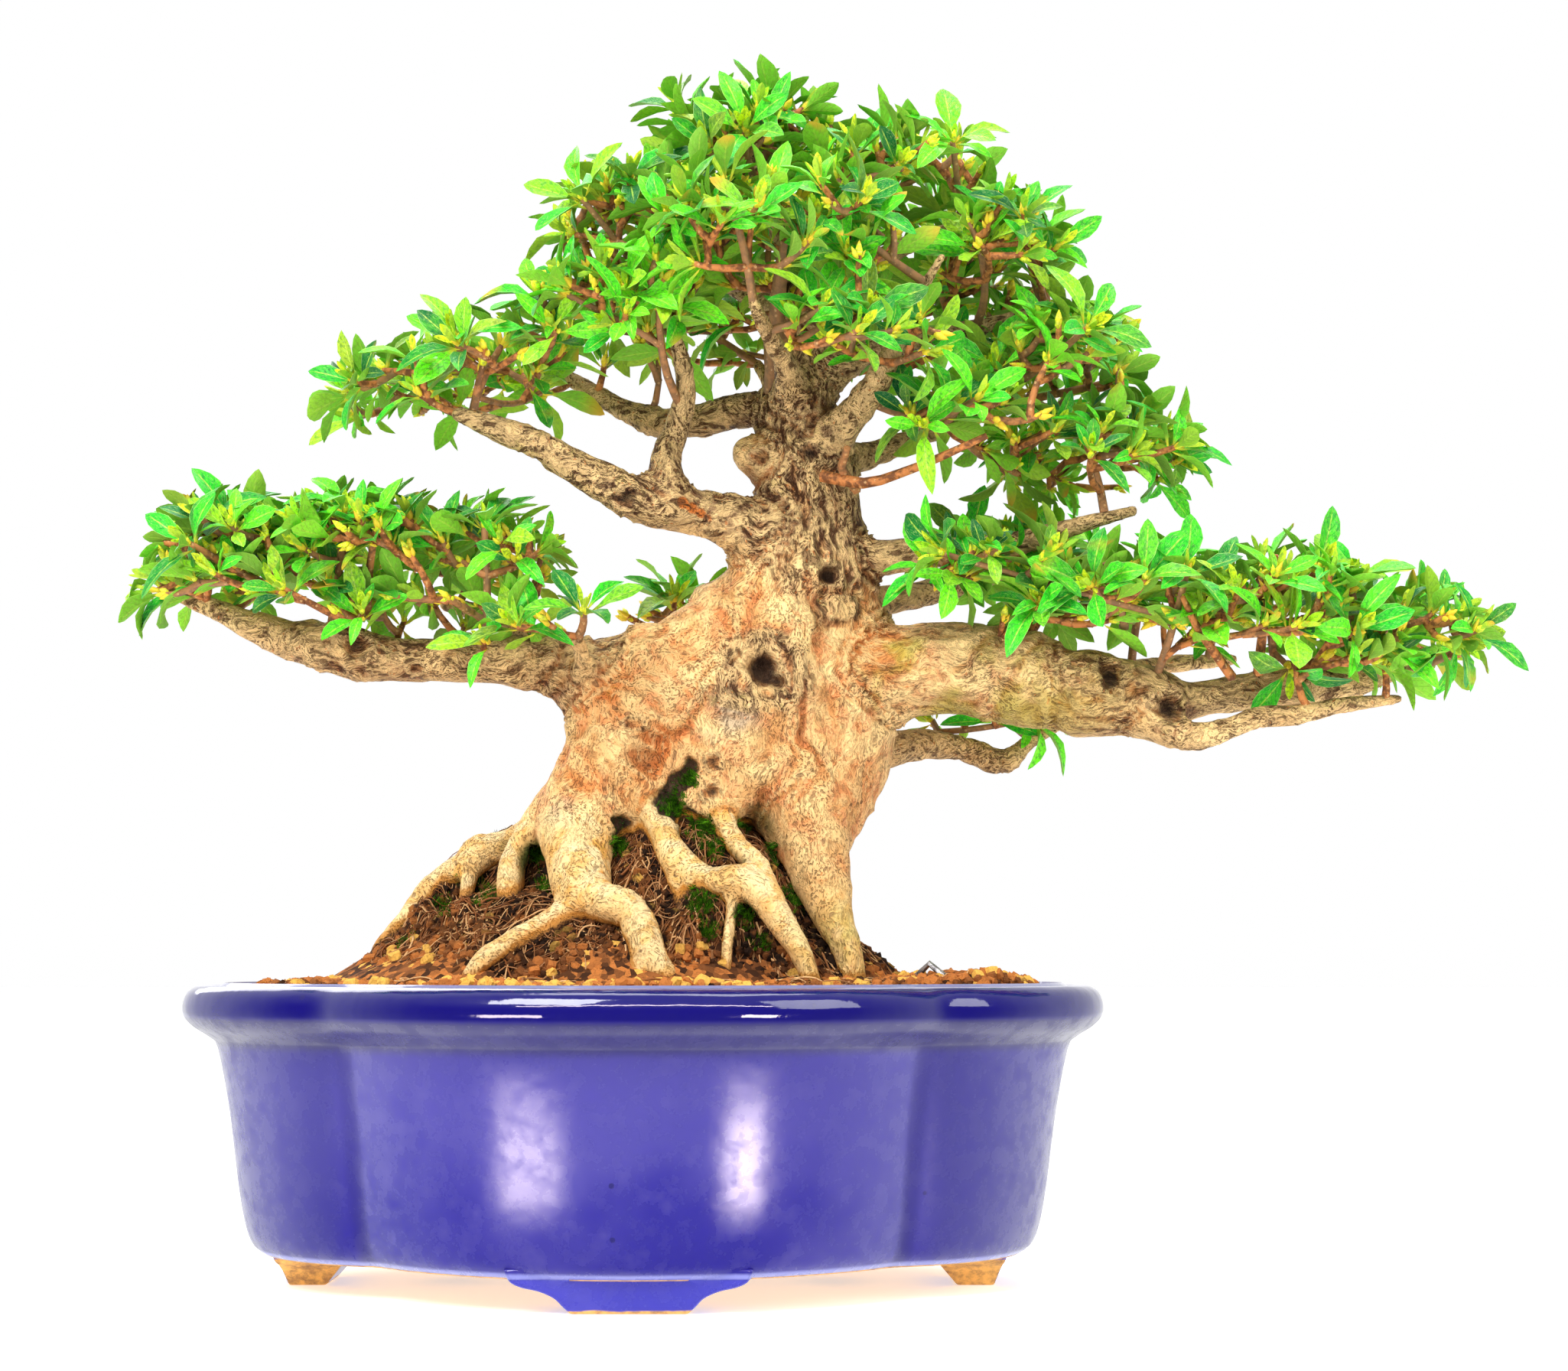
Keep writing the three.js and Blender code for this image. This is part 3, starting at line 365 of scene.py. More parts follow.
studio = {
    "floorHalf": 8.0,
    "floorColour": (0.93, 0.93, 0.93, 1),
    "skyStrength": 0.42,
    "floorGlow": 0.50,
    "whiteSeen": 1.0,        # how bright the camera sees the sky
    "roomMirrored": 0.10,    # the sky in front of the tree, and behind and over it, as the glaze mirrors them
    "wallMirrored": 1.15,
    "overheadShare": 0.45,
    # name, place in metres, size, watts, aimed at
    "lamps": [
        ("keyLamp", (-0.7, -1.1, 1.3), (0.8, 0.8), 31.0, (0, 0, 0.2)),
        ("fillLamp", (1.2, -0.9, 0.9), (0.7, 0.9), 10.0, (0, 0, 0.2)),
        ("topLamp", (0.1, 0.3, 1.5), (1.0, 1.0), 16.0, (0, 0, 0.2)),
        ("backLamp", (-0.6, 1.3, 0.9), (0.9, 0.9), 8.0, (0, 0, 0.2)),
    ],
    "mirroredColour": (1.0, 0.84, 0.80),
    # soft boxes that only the glaze mirrors
    "mirroredLamps": [
        ("leftStrip", (-0.75, -1.0, -0.255), (0.42, 0.24), 6.5),
        ("rightStrip", (0.72, -1.1, -0.29), (0.27, 0.27), 8.8),
        ("rimStrip", (0.0, -1.0, 0.62), (1.5, 0.04), 6.0),
    ],
}


def makeStage():
    half = studio["floorHalf"]
    mesh = bpy.data.meshes.new("floor")
    mesh.from_pydata([(x * half, y * half, 0) for x, y in ((-1, -1), (1, -1), (1, 1), (-1, 1))], [],
                     [(0, 1, 2, 3)])
    material, place = newMaterial("paleFloor", 0.6)
    setConstants(material, {"Emission Color": (1, 1, 1, 1), "Emission Strength": studio["floorGlow"]})
    pale = studio["floorColour"]
    soft = mixColour(noise(place, 3.0), pale, tuple(0.985 * c for c in pale[:3]) + (1,))
    floor = makeObject("floor", mesh, finish(material, {"Base Color": soft}))
    floor.visible_glossy = False
    scene.world = bpy.data.worlds.new("studio")
    scene.world.use_nodes = True
    tree = scene.world.node_tree
    way = coordinate(tree, "Generated")
    over = fade(part(way, 2), 0.2, 0.7) * studio["overheadShare"]
    wall = larger(fade(part(way, 1), -0.55, 0.35), over)
    inGlaze = between(wall, studio["roomMirrored"], studio["wallMirrored"])
    path = put(tree, "ShaderNodeLightPath").outputs
    strength = between(Value(path["Is Glossy Ray"]), studio["skyStrength"], inGlaze)
    strength = between(Value(path["Is Camera Ray"]), strength, studio["whiteSeen"])
    sky = tree.nodes["Background"]
    sky.inputs[0].default_value = (1, 1, 1, 1)
    tree.links.new(strength.socket, sky.inputs[1])
    aimed = [(*row, False) for row in studio["lamps"]]
    aimed += [(*row, (potMiddle[0], 0, 0.05), True) for row in studio["mirroredLamps"]]
    for name, place, size, watts, target, mirrored in aimed:
        lamp = bpy.data.lights.new(name, "AREA")
        lamp.shape = "RECTANGLE"
        lamp.size, lamp.size_y = size
        lamp.energy = watts
        lamp.color = studio["mirroredColour"] if mirrored else (1, 1, 1)
        holder = bpy.data.objects.new(name, lamp)
        holder.location = place
        holder.rotation_euler = (Vector(target) - Vector(place)).to_track_quat("-Z", "Y").to_euler()
        holder.visible_camera = False
        holder.visible_diffuse = not mirrored
        scene.collection.objects.link(holder)


makeStage()
print("camera, floor and light are in place")


# The pot: four lobes, a rolled lip and four cloud feet, under a deep blue glaze

potShape = {
    "halfWidth": 124.0,      # of the body's plan, to the middle of the side lobes
    "halfDepth": 98.0,
    "notchAcross": 78.6,     # where the lobes meet
    "notchDeep": 62.0,
    "notchRound": 2.6,
    "height": 85.3,
    "footHeight": 9.0,
    "footBevel": 0.9,
    "floorTop": 15.5,
    "drainSpacing": 110.0,
    "drainRadius": 9.0,
    "turns": 440,
    "sectionStep": 1.6,
}
potSection = [  # how far outside the plan, and the height
    (-15, 9), (-11.8, 11.3), (-9.6, 16.2), (-7.4, 27), (-4.2, 50), (-0.8, 67), (1.5, 70.4), (6.2, 73.4),
    (9, 76.4), (9.6, 79.6), (8.2, 83.4), (4.6, 85.3), (0, 84.4), (-4, 80.5), (-14, 21), (-20, 15.5),
]


def lobe(halfChord, rise):
    return (halfChord ** 2 + rise ** 2) / (2 * rise)


frontRadius = lobe(potShape["notchAcross"], potShape["halfDepth"] - potShape["notchDeep"])
sideRadius = lobe(potShape["notchDeep"], potShape["halfWidth"] - potShape["notchAcross"])
frontMiddle = potShape["halfDepth"] - frontRadius
sideMiddle = potShape["halfWidth"] - sideRadius


def planReach(angle, outside):  # how far the plan lies from the middle, along an angle
    def reachOf(x, y, radius):
        along = x * np.cos(angle) + y * np.sin(angle)
        room = (radius + outside) ** 2 - x * x - y * y + along ** 2
        return np.where(room > 0, along + np.sqrt(np.maximum(room, 0)), 0)

    reach = np.minimum(reachOf(0, frontMiddle, frontRadius), reachOf(0, -frontMiddle, frontRadius))
    for x in (sideMiddle, -sideMiddle):
        side = reachOf(x, 0, sideRadius)
        blend = np.maximum(potShape["notchRound"] - np.abs(reach - side), 0) / potShape["notchRound"]
        reach = np.maximum(reach, side) + blend ** 2 * potShape["notchRound"] / 4
    return reach


def creaseAt(angle, outside):  # 1 in a notch, 0 a few millimetres to each side of it
    turn = np.abs(np.cos(angle)), np.abs(np.sin(angle))
    steps = (0, 0.03, -0.03)
    here, more, less = (planReach(angle + d, outside) for d in steps)
    bend = (more + less - 2 * here) / here
    return np.clip(bend / 0.012, 0, 1) * (turn[0] > 0.3) * (turn[1] > 0.3)


def planRing(angles, outside, z):
    reach = planReach(angles, outside)
    return np.stack([reach * np.cos(angles), reach * np.sin(angles), np.full(len(angles), z)], 1)


def loftFaces(rings, count):  # quads between rings, with a fan at each end
    faces = []
    last = rings * count
    for j in range(count):
        k = (j + 1) % count
        faces.append((last, k, j))
        faces.append((last + 1, (rings - 1) * count + j, (rings - 1) * count + k))
        for i in range(rings - 1):
            a, b = i * count, (i + 1) * count
            faces.append((a + j, a + k, b + k, b + j))
    return faces


footProfile = [(0.47, 0), (0.53, 1.9), (0.60, 4.2), (0.72, 6.0), (0.86, 7.1), (0.95, 8.7), (1, 12)]


def makeFoot(topHalf, outerFace, thick, turn):  # narrower towards the ground, with hollow curved ends
    side = smoothLine([(x * topHalf, z) for x, z in footProfile], 0.7)
    outline = np.vstack([side, side[::-1] * (-1, 1)])
    shell = bmesh.new()
    lean = np.clip(1 - outline[:, 1] / 11, 0, 1)
    outer = -outerFace + 3.2 * lean ** 1.2
    inner = -outerFace + thick - 0.4 * thick * lean
    front = [shell.verts.new((x, y, z)) for (x, z), y in zip(outline, outer)]
    back = [shell.verts.new((x, y, z)) for (x, z), y in zip(outline, inner)]
    shell.faces.new(front)
    shell.faces.new(back[::-1])
    for i in range(len(outline)):
        j = (i + 1) % len(outline)
        shell.faces.new((front[j], front[i], back[i], back[j]))
    bmesh.ops.recalc_face_normals(shell, faces=shell.faces)
    edges = [e for e in shell.edges if e.calc_face_angle(0) > 0.6]
    bmesh.ops.bevel(shell, geom=edges, offset=potShape["footBevel"], segments=3, profile=0.6, affect="EDGES")
    bmesh.ops.triangulate(shell, faces=[f for f in shell.faces if len(f.verts) > 4])
    points = np.array([v.co for v in shell.verts])
    c, s = math.cos(turn), math.sin(turn)
    points = points @ np.array([[c, s, 0], [-s, c, 0], [0, 0, 1]])
    faces = [[v.index for v in f.verts] for f in shell.faces]
    shell.free()
    return build("foot", points, faces)


def joinInto(piece, tool, operation):
    modifier = piece.modifiers.new("join", "BOOLEAN")
    modifier.operation = operation
    modifier.solver = "EXACT"
    modifier.object = tool
    depsgraph = bpy.context.evaluated_depsgraph_get()
    mesh = bpy.data.meshes.new_from_object(piece.evaluated_get(depsgraph), depsgraph=depsgraph)
    piece.modifiers.clear()
    piece.data = mesh
    bpy.data.objects.remove(tool)


glazeLook = {
    "blue": (0.060, 0.049, 0.30, 1),
    "deepBlue": (0.019, 0.013, 0.255, 1),
    "rimBlue": (0.005, 0.003, 0.12, 1),
    "paleBlue": (0.12, 0.10, 0.40, 1),
    "notchAndFootHighlight": (0.30, 0.32, 0.72, 1),   # painted highlight on the notch lines and along the foot line
    "sideLobeShade": (0.042, 0.037, 0.205, 1),
    # painted shade in the cove under the lip
    "coveShade": (0.034, 0.032, 0.105, 1),
    # painted shade beside the notches
    "creaseShade": (0.016, 0.012, 0.13, 1),
    "footBlue": (0.085, 0.085, 0.66, 1),
    "crestHighlight": (0.35, 0.36, 0.60, 1),
    "pitBlue": (0.01, 0.008, 0.10, 1),
    "clay": (0.90, 0.50, 0.13, 1),
    "darkClay": (0.34, 0.17, 0.07, 1),
    "roughness": 0.25,
}


def makeGlaze():
    look = glazeLook
    material, place = newMaterial("cobaltGlaze", look["roughness"])
    setConstants(material, {"IOR": 1.55, "Coat Roughness": 0.17})
    local = shade("ShaderNodeMapping", {0: place, "Location": tuple(-c for c in potMiddle)},
                  vector_type="POINT")
    side, z = abs(part(local, 0)), part(local, 2)
    facing = coordinate(material.node_tree, "Normal")
    crease = read(material, "crease")
    # colour: slow clouds, small blotches, painted shade in the cove under the lip and beside the notches, and
    # painted highlights on the notch lines and along the foot line
    blotch = noise(place, 170.0, 4.0, 0.65)
    cells = shade("ShaderNodeTexVoronoi", {"Vector": place, "Scale": 130.0}, "Distance", feature="F2")
    cove = fade(z, 0.0665, 0.0700) * fade(z, 0.0778, 0.0758)
    lip = fade(z, 0.0755, 0.0775)
    ragged = z + blotch * 0.0006
    # a painted highlight along the top edge of the feet
    footEdgeHighlight = fade(ragged, 0.0093, 0.0100) * fade(ragged, 0.0115, 0.0104)
    pits = specks(place, 95.0, 0.075, 0.22)
    upper = fade(z, 0.012, 0.070) * 0.30
    body = mixColour(fade(noise(place, 22.0, 3.0) + upper, 0.72, 0.38), look["blue"], look["deepBlue"])
    body = layered(
        body,
        (fade(blotch, 0.50, 0.75) * 0.25, look["paleBlue"]),
        (fade(cells, 0.55, 0.95) * fade(blotch, 0.40, 0.62) * 0.16, look["deepBlue"]),
        # painted shade on the side lobes
        (fade(side, 0.074, 0.086) * 0.6, look["sideLobeShade"]),
        # painted shade in the cove under the lip
        (cove * 0.80, look["coveShade"]),
        # painted shade beside each notch, and a painted highlight on its line
        (fade(crease, 0.25, 0.95) * 0.75, look["creaseShade"]),
        (fade(crease, 0.85, 1.0) * 0.45, look["notchAndFootHighlight"]),
        (fade(z, 0.0096, 0.0088) * 0.5, look["footBlue"]),
        (lip, look["rimBlue"]),
        # a painted highlight along the crest of the lip
        (fade(ragged, 0.0851, 0.0857) * 0.6, look["crestHighlight"]),
        (footEdgeHighlight * 0.75, look["notchAndFootHighlight"]),
        (pits * 0.7, look["pitBlue"]),
    )
    # bare clay: the ground line, the underside and the ends of the side feet
    wobble = noise(place, 120.0) * 0.0012
    low = fade(z - wobble, 0.0006, 0.0001)
    under = fade(part(facing, 2), -0.90, -0.95) * fade(z, 0.0105, 0.0095)
    endFace = fade(abs(part(facing, 0)), 0.80, 0.65)
    sideFoot = fade(side, 0.070, 0.072) * endFace * fade(z + wobble, 0.0094, 0.0088)
    bare = larger(larger(low, under), sideFoot)
    clay = mixColour(fade(noise(place, 260.0, 4.0, 0.7), 0.35, 0.72), look["clay"], look["darkClay"])
    rough = blotch * 0.16 + (look["roughness"] - 0.06) - lip * 0.20 + bare * 0.6
    coat = (1.0 - bare) * fade(blotch, 0.30, 0.62) * (0.75 - lip * 0.6)
    # relief: slow waves in the glaze, a fine orange peel, pinholes and gritty clay
    height = noise(place, 60.0) * 1.6 + noise(place, 420.0) * 0.16 - pits * 0.8
    height = height + noise(place, 900.0, 4.0, 0.7) * bare
    return finish(material, {"Base Color": mixColour(bare, body, clay), "Roughness": rough,
                             "Coat Weight": coat, "Normal": bump(height, 0.35, 0.0006)})


def makePot():
    angles = np.arange(potShape["turns"]) * 2 * math.pi / potShape["turns"]
    section = smoothLine(potSection, potShape["sectionStep"])
    rings = [planRing(angles, outside, z) for outside, z in section]
    points = np.vstack(rings + [[(0, 0, potShape["footHeight"])], [(0, 0, potShape["floorTop"])]])
    crease = np.concatenate([creaseAt(angles, outside) for outside, z in section] + [[0.0, 0.0]])
    pot = build("pot_glazed", points, loftFaces(len(rings), len(angles)), (), {"crease": crease})
    frontFoot = (33, potShape["halfDepth"] - 16, 19)
    sideFoot = (24, potShape["halfWidth"] - 20, 23)
    feet = ((frontFoot, 0), (frontFoot, math.pi), (sideFoot, math.pi / 2), (sideFoot, -math.pi / 2))
    for foot, turn in feet:
        joinInto(pot, makeFoot(*foot, turn), "UNION")
    for side in (-1, 1):
        ring = np.arange(48) * 2 * math.pi / 48
        circle = np.stack([np.cos(ring), np.sin(ring)], 1) * potShape["drainRadius"]
        circle[:, 0] += side * potShape["drainSpacing"] / 2
        ends = [np.column_stack([circle, np.full(48, z)]) for z in (-5.0, 40.0)]
        middles = [[(side * potShape["drainSpacing"] / 2, 0, z)] for z in (-5.0, 40.0)]
        drain = build("drain", np.vstack(ends + middles), loftFaces(2, 48))
        joinInto(pot, drain, "DIFFERENCE")
    pot.data.materials.append(makeGlaze())
    pot.data.shade_smooth()
    pot.data.set_sharp_from_angle(angle=math.radians(50))
    return wear(pot, "pot_glaze", "pot")


pot = makePot()


# The wood: every limb is a run of round sections that flow into each other

trunkLimbs = {
    "trunkLeft": [(35, 2, 204, 10), (22, -1, 184, 17), (4, -3, 168, 18.4), (-8, -6, 153, 15.6),
        (-15, -9, 139, 13.2), (-18, -15, 128, 9.8)],
    "trunkMiddle": [(46, 2, 206, 14), (37, 3, 184, 20), (29, 3, 168, 23), (20, 3, 152, 23),
        (10, 7, 136, 22), (2, 12, 112, 24), (0, 14, 92, 18)],
    "trunkRight": [(49, 3, 206, 14), (51, 4, 183, 19), (53, 3, 163, 19), (54, 1, 148, 15.3),
        (52, -4, 134, 9.4), (50, -12, 126, 7.1), (51, -18, 116, 6.6), (54, -22, 107, 5.7),
        (58, -26, 97, 4.4), (61, -30, 84, 3.2)],
    "rootLeft": [(-18, -13, 133, 10.6), (-18, -22, 122, 9.2), (-16, -30, 113, 8.7), (-10, -36, 108, 6.2),
        (-2, -41, 106, 5), (2, -45, 98, 4.4), (1, -50, 89, 3.6), (0, -53, 80, 2.8)],
    "rootToe": [(0, -44, 100, 4.2), (6, -50, 92, 3.6), (12, -55, 81, 2.8)],
    "rootLeftFork": [(-16, -30, 108, 6), (-27, -37, 101, 4.4), (-37, -42, 96, 3.7), (-44, -45, 91, 3),
        (-50, -47, 81, 2.2)],
    "rootSecond": [(-30, -5, 133, 6), (-37, -10, 123, 4.2), (-38, -15, 114, 3.9), (-38, -20, 103, 3.4),
        (-38, -24, 91, 2.6)],
    "rootBackLeft": [(-26, 4, 132, 7.5), (-40, 7, 126, 4.8), (-52, 8, 121, 4.1), (-64, 7, 113, 3.9),
        (-70, 4, 104, 3.8), (-77, 2, 95, 3.4), (-82, 0, 84, 2.6)],
    "rootSmallLeft": [(-50, 7, 125, 3), (-52, 2, 115, 2.4), (-53, -4, 106, 2.2), (-54, -8, 94, 1.8)],
    "rootMiddle": [(6, -6, 142, 8), (5, -17, 132, 5), (8, -26, 124, 4.6), (13, -32, 118, 5.2),
        (19, -36, 114, 4.5), (28, -38, 115, 4.1), (35, -42, 110, 4.3), (40, -46, 103, 4),
        (45, -50, 95, 3.4), (50, -54, 82, 2.6)],
    "rootSpur": [(22, -16, 133, 4), (28, -27, 124, 3.2), (34, -34, 119, 2.8), (37, -40, 110, 2.4)],
    "rootFineA": [(26, -37, 113, 2.6), (26, -41, 105, 2), (25, -45, 97, 1.8), (25, -47, 86, 1.5)],
    "rootFineB": [(10, -28, 118, 2.6), (12, -36, 108, 2.2), (15, -44, 98, 2), (18, -49, 86, 1.7)],
    "rootBackRight": [(50, 8, 146, 12), (52, 24, 124, 7.4), (55, 36, 104, 5.2), (62, 45, 84, 3.6)],
    "rootBackMiddle": [(32, 14, 142, 16), (40, 38, 120, 9), (43, 54, 102, 6), (40, 66, 82, 4)],
    "rootBackInner": [(8, 18, 138, 15), (-4, 40, 118, 8.5), (-16, 54, 100, 5.6), (-20, 64, 82, 3.8)],
    "rootBackOuter": [(-14, 12, 140, 12), (-34, 28, 124, 7), (-50, 38, 106, 5), (-62, 44, 84, 3.4)],
}

branchLimbs = {
    "neck": [(46, 2, 195, 19.2), (48, 0, 213, 15.8), (49, 0, 232, 13.2), (46, 0, 248, 10.5),
        (45, 0, 264, 8.7), (47, 1, 283, 6.9), (44, 2, 302, 5.5), (36, 4, 323, 3.7), (30, 5, 338, 2.4)],
    "lowLeft": [(14, 0, 172, 17), (-12, -3, 174, 12.1), (-26, -6, 178, 8.5), (-40, -8, 180, 7.2),
        (-54, -8, 180, 6.7), (-69, -8, 180, 6.3), (-82, -8, 181, 7.4), (-93, -8, 184, 6.9),
        (-104, -6, 186, 5.6), (-115, -6, 190, 4.5), (-126, -4, 195, 3.2), (-137, -4, 199, 2)],
    "lowLeftBack": [(-20, -2, 178, 6), (-33, 6, 187, 4.1), (-47, 14, 195, 3.2), (-62, 22, 200, 2.2)],
    "lowLeftFront": [(-14, -8, 172, 6), (-17, -22, 178, 3), (-18, -32, 184, 1.8)],
    "lowRight": [(50, 2, 176, 17), (69, -1, 177, 14.4), (85, -4, 178, 13.5), (102, -6, 177, 13.5),
        (120, -8, 172, 12.1), (136, -8, 170, 11.2), (147, -8, 169, 9.8), (157, -6, 168, 5.8),
        (171, -4, 170, 5.2), (186, -2, 172, 5.9), (202, 0, 173, 5.4), (216, 2, 176, 3.2),
        (228, 4, 179, 1.8)],
    "lowRightUnder": [(143, -10, 165, 6), (157, -17, 157, 4.4), (166, -19, 158, 3.7), (177, -19, 162, 3.1),
        (189, -19, 163, 2.9), (203, -17, 166, 2.4), (219, -14, 168, 1.6)],
    "lowRightBack": [(128, -2, 172, 8), (142, 14, 178, 4), (158, 26, 182, 2.8), (178, 32, 184, 1.8)],
    "leftArm": [(46, -2, 213, 11), (32, -9, 218, 9.4), (19, -13, 222, 6.9), (8, -16, 224, 6.9),
        (-3, -19, 226, 6.2), (-11, -21, 230, 5.5), (-22, -23, 236, 5.1), (-31, -25, 241, 4.4),
        (-42, -27, 245, 3.5), (-53, -28, 249, 2.2)],
    "leftRiser": [(7, -17, 227, 5), (6, -16, 237, 4.5), (9, -12, 247, 3.8), (12, -18, 260, 2.7),
        (8, -26, 276, 1.8)],
    "leftUpper": [(44, 1, 253, 7.5), (31, 7, 257, 5.5), (16, 13, 255, 5.1), (4, 17, 255, 4.7),
        (-5, 20, 258, 3.7), (-17, 24, 265, 2.8), (-31, 26, 274, 1.9)],
    "leftHigh": [(46, 2, 284, 6), (32, 10, 292, 3.8), (16, 14, 302, 2.8), (0, 14, 308, 1.9)],
    "rightFront": [(49, -3, 240, 8), (64, -18, 255, 4.4), (72, -26, 267, 3.1), (77, -32, 279, 2.2),
        (86, -36, 293, 1.4)],
    "rightUpper": [(50, 3, 240, 8), (65, 14, 244, 4.6), (79, 20, 250, 3.4), (95, 26, 257, 2.6),
        (114, 30, 264, 1.8)],
    "rightHigh": [(46, 0, 280, 6.4), (60, -6, 293, 3.8), (76, -8, 303, 2.8), (94, -8, 310, 1.9)],
    "rightOuter": [(47, 0, 262, 7), (64, 0, 272, 4.4), (82, 2, 278, 3.4), (102, 4, 282, 2.6),
        (120, 6, 288, 1.8)],
    "rightMiddle": [(52, 1, 208, 9), (64, -4, 210, 6.1), (76, -6, 211, 5.2), (86, -8, 212, 4.7),
        (98, -12, 211, 4.5), (112, -16, 214, 3.3), (126, -18, 218, 2.4), (142, -20, 222, 1.6)],
    "rightRear": [(54, 10, 196, 10), (70, 24, 201, 4.9), (84, 34, 205, 4), (99, 44, 209, 3.3),
        (114, 52, 216, 2.4), (132, 58, 220, 1.5)],
    "rightUnder": [(56, 10, 156, 10), (72, 22, 156, 5.6), (84, 30, 158, 4.7), (96, 36, 157, 3.7),
        (108, 38, 153, 3.5), (117, 40, 160, 2.4), (127, 42, 165, 1.4)],
    "rearLow": [(18, 14, 170, 12), (10, 38, 180, 5), (6, 58, 187, 3.6), (0, 76, 193, 2.6),
        (-8, 88, 198, 1.8)],
    "rearHigh": [(48, 6, 222, 11), (51, 32, 237, 5.4), (50, 52, 252, 4.1), (42, 64, 268, 2.9),
        (32, 70, 284, 1.8)],
    "frontHigh": [(45, -3, 256, 7), (41, -26, 264, 3.3), (36, -42, 270, 2.4), (32, -54, 276, 1.6)],
}

woodShape = {
    "cell": 1.19,            # size of the grid that the skin is drawn from
    "lineStep": 3.0,
    "trunkBlend": 9.0,       # how softly limbs flow into each other
    "rootBlend": 4.5,
    "branchBlend": 6.0,
    "knobbly": 0.05,
    "low": (-142.0, -62.0, 78.0),
    "high": (236.0, 98.0, 346.0),
}
addedWood = {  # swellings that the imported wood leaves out
    "buttress": [(38, 1, 154, 16), (45, -3.5, 142, 14.5), (47, -8, 132, 12), (49.5, -13, 124, 8.2),
                 (52.5, -17, 115, 5)],
    "neckStub": [(42, 0, 236, 9), (34, -3, 240, 6.4), (30.5, -4, 241.5, 5.2)],
}
bigTrunks = ("buttress", "neckStub", "trunkLeft", "trunkMiddle", "trunkRight", "neck", "lowLeft", "lowRight")


def limbLine(route, seed):  # a smooth centre line with a slightly knobbly radius
    line = smoothLine(route, woodShape["lineStep"])
    along = np.concatenate([[0], np.cumsum(rowLengths(np.diff(line[:, :3], axis=0)))])
    spots = np.stack([along / 9.0, np.full(len(line), seed * 3.7), np.zeros(len(line))], 1)
    line[:, 3] *= 1 + woodShape["knobbly"] * smoothNoise(spots)
    return line, along


def carveWood():  # the distance to the wood on a grid, and the piece of limb that is nearest
    cell = woodShape["cell"]
    low, high = np.array(woodShape["low"]), np.array(woodShape["high"])
    shape = np.ceil((high - low) / cell).astype(int) + 1
    far = 30.0
    field = np.full(shape, far, np.float32)
    owner = np.zeros(shape, np.int16)
    pieces = []
    heights = (low[2] + np.arange(shape[2]) * cell).astype(np.float32)
    softer = woodShape["rootBlend"] + 7.0 * smoothStep(115, 134, heights)
    for seed, (name, route) in enumerate({**trunkLimbs, **addedWood, **branchLimbs}.items()):
        line, along = limbLine(route, seed)
        blend = woodShape["trunkBlend" if name in bigTrunks else "branchBlend"]
        blend = np.full(shape[2], blend, np.float32)
        if name in trunkLimbs and name not in bigTrunks:
            blend = softer
            line[:, 3] *= 0.72 + 0.28 * smoothStep(0, 16, along)
        reach = blend.max() + 3 * cell
        box = []
        for axis in range(3):
            first = (np.min(line[:, axis] - line[:, 3]) - reach - low[axis]) / cell
            last = (np.max(line[:, axis] + line[:, 3]) + reach - low[axis]) / cell
            box.append((max(0, int(first)), min(shape[axis], int(last) + 2)))
        local = np.full([b - a for a, b in box], far, np.float32)
        localOwner = np.zeros(local.shape, np.int16)
        for a, b in zip(line[:-1], line[1:]):
            pieces.append((name, a, b))
            part = []
            for axis in range(3):
                ends = (a[axis], b[axis])
                wide = max(a[3], b[3]) + reach
                first = int((min(ends) - wide - low[axis]) / cell) - box[axis][0]
                last = int((max(ends) + wide - low[axis]) / cell) + 2 - box[axis][0]
                part.append(slice(max(0, first), min(local.shape[axis], max(last, 1))))
            spots = [((np.arange(part[i].start, part[i].stop) + box[i][0]) * cell + low[i]).astype(np.float32)
                     for i in range(3)]
            px, py, pz = np.meshgrid(*[s - o for s, o in zip(spots, a[:3].astype(np.float32))],
                                     indexing="ij", sparse=True)
            ab = (b - a)[:3].astype(np.float32)
            t = np.clip((px * ab[0] + py * ab[1] + pz * ab[2]) / float(ab @ ab), 0, 1)
            gap = np.sqrt((px - t * ab[0]) ** 2 + (py - t * ab[1]) ** 2 + (pz - t * ab[2]) ** 2)
            gap = gap - (a[3] + (b[3] - a[3]) * t).astype(np.float32)
            here = tuple(part)
            closer = gap < local[here]
            local[here] = np.where(closer, gap, local[here])
            localOwner[here] = np.where(closer, len(pieces) - 1, localOwner[here])
        here = tuple(slice(a, b) for a, b in box)
        before = field[here]
        blend = blend[here[2]]
        mixing = np.maximum(blend - np.abs(before - local), 0) / blend
        owner[here] = np.where(local < before, localOwner, owner[here])
        field[here] = np.minimum(before, local) - mixing * mixing * blend / 4
    return field, owner, pieces


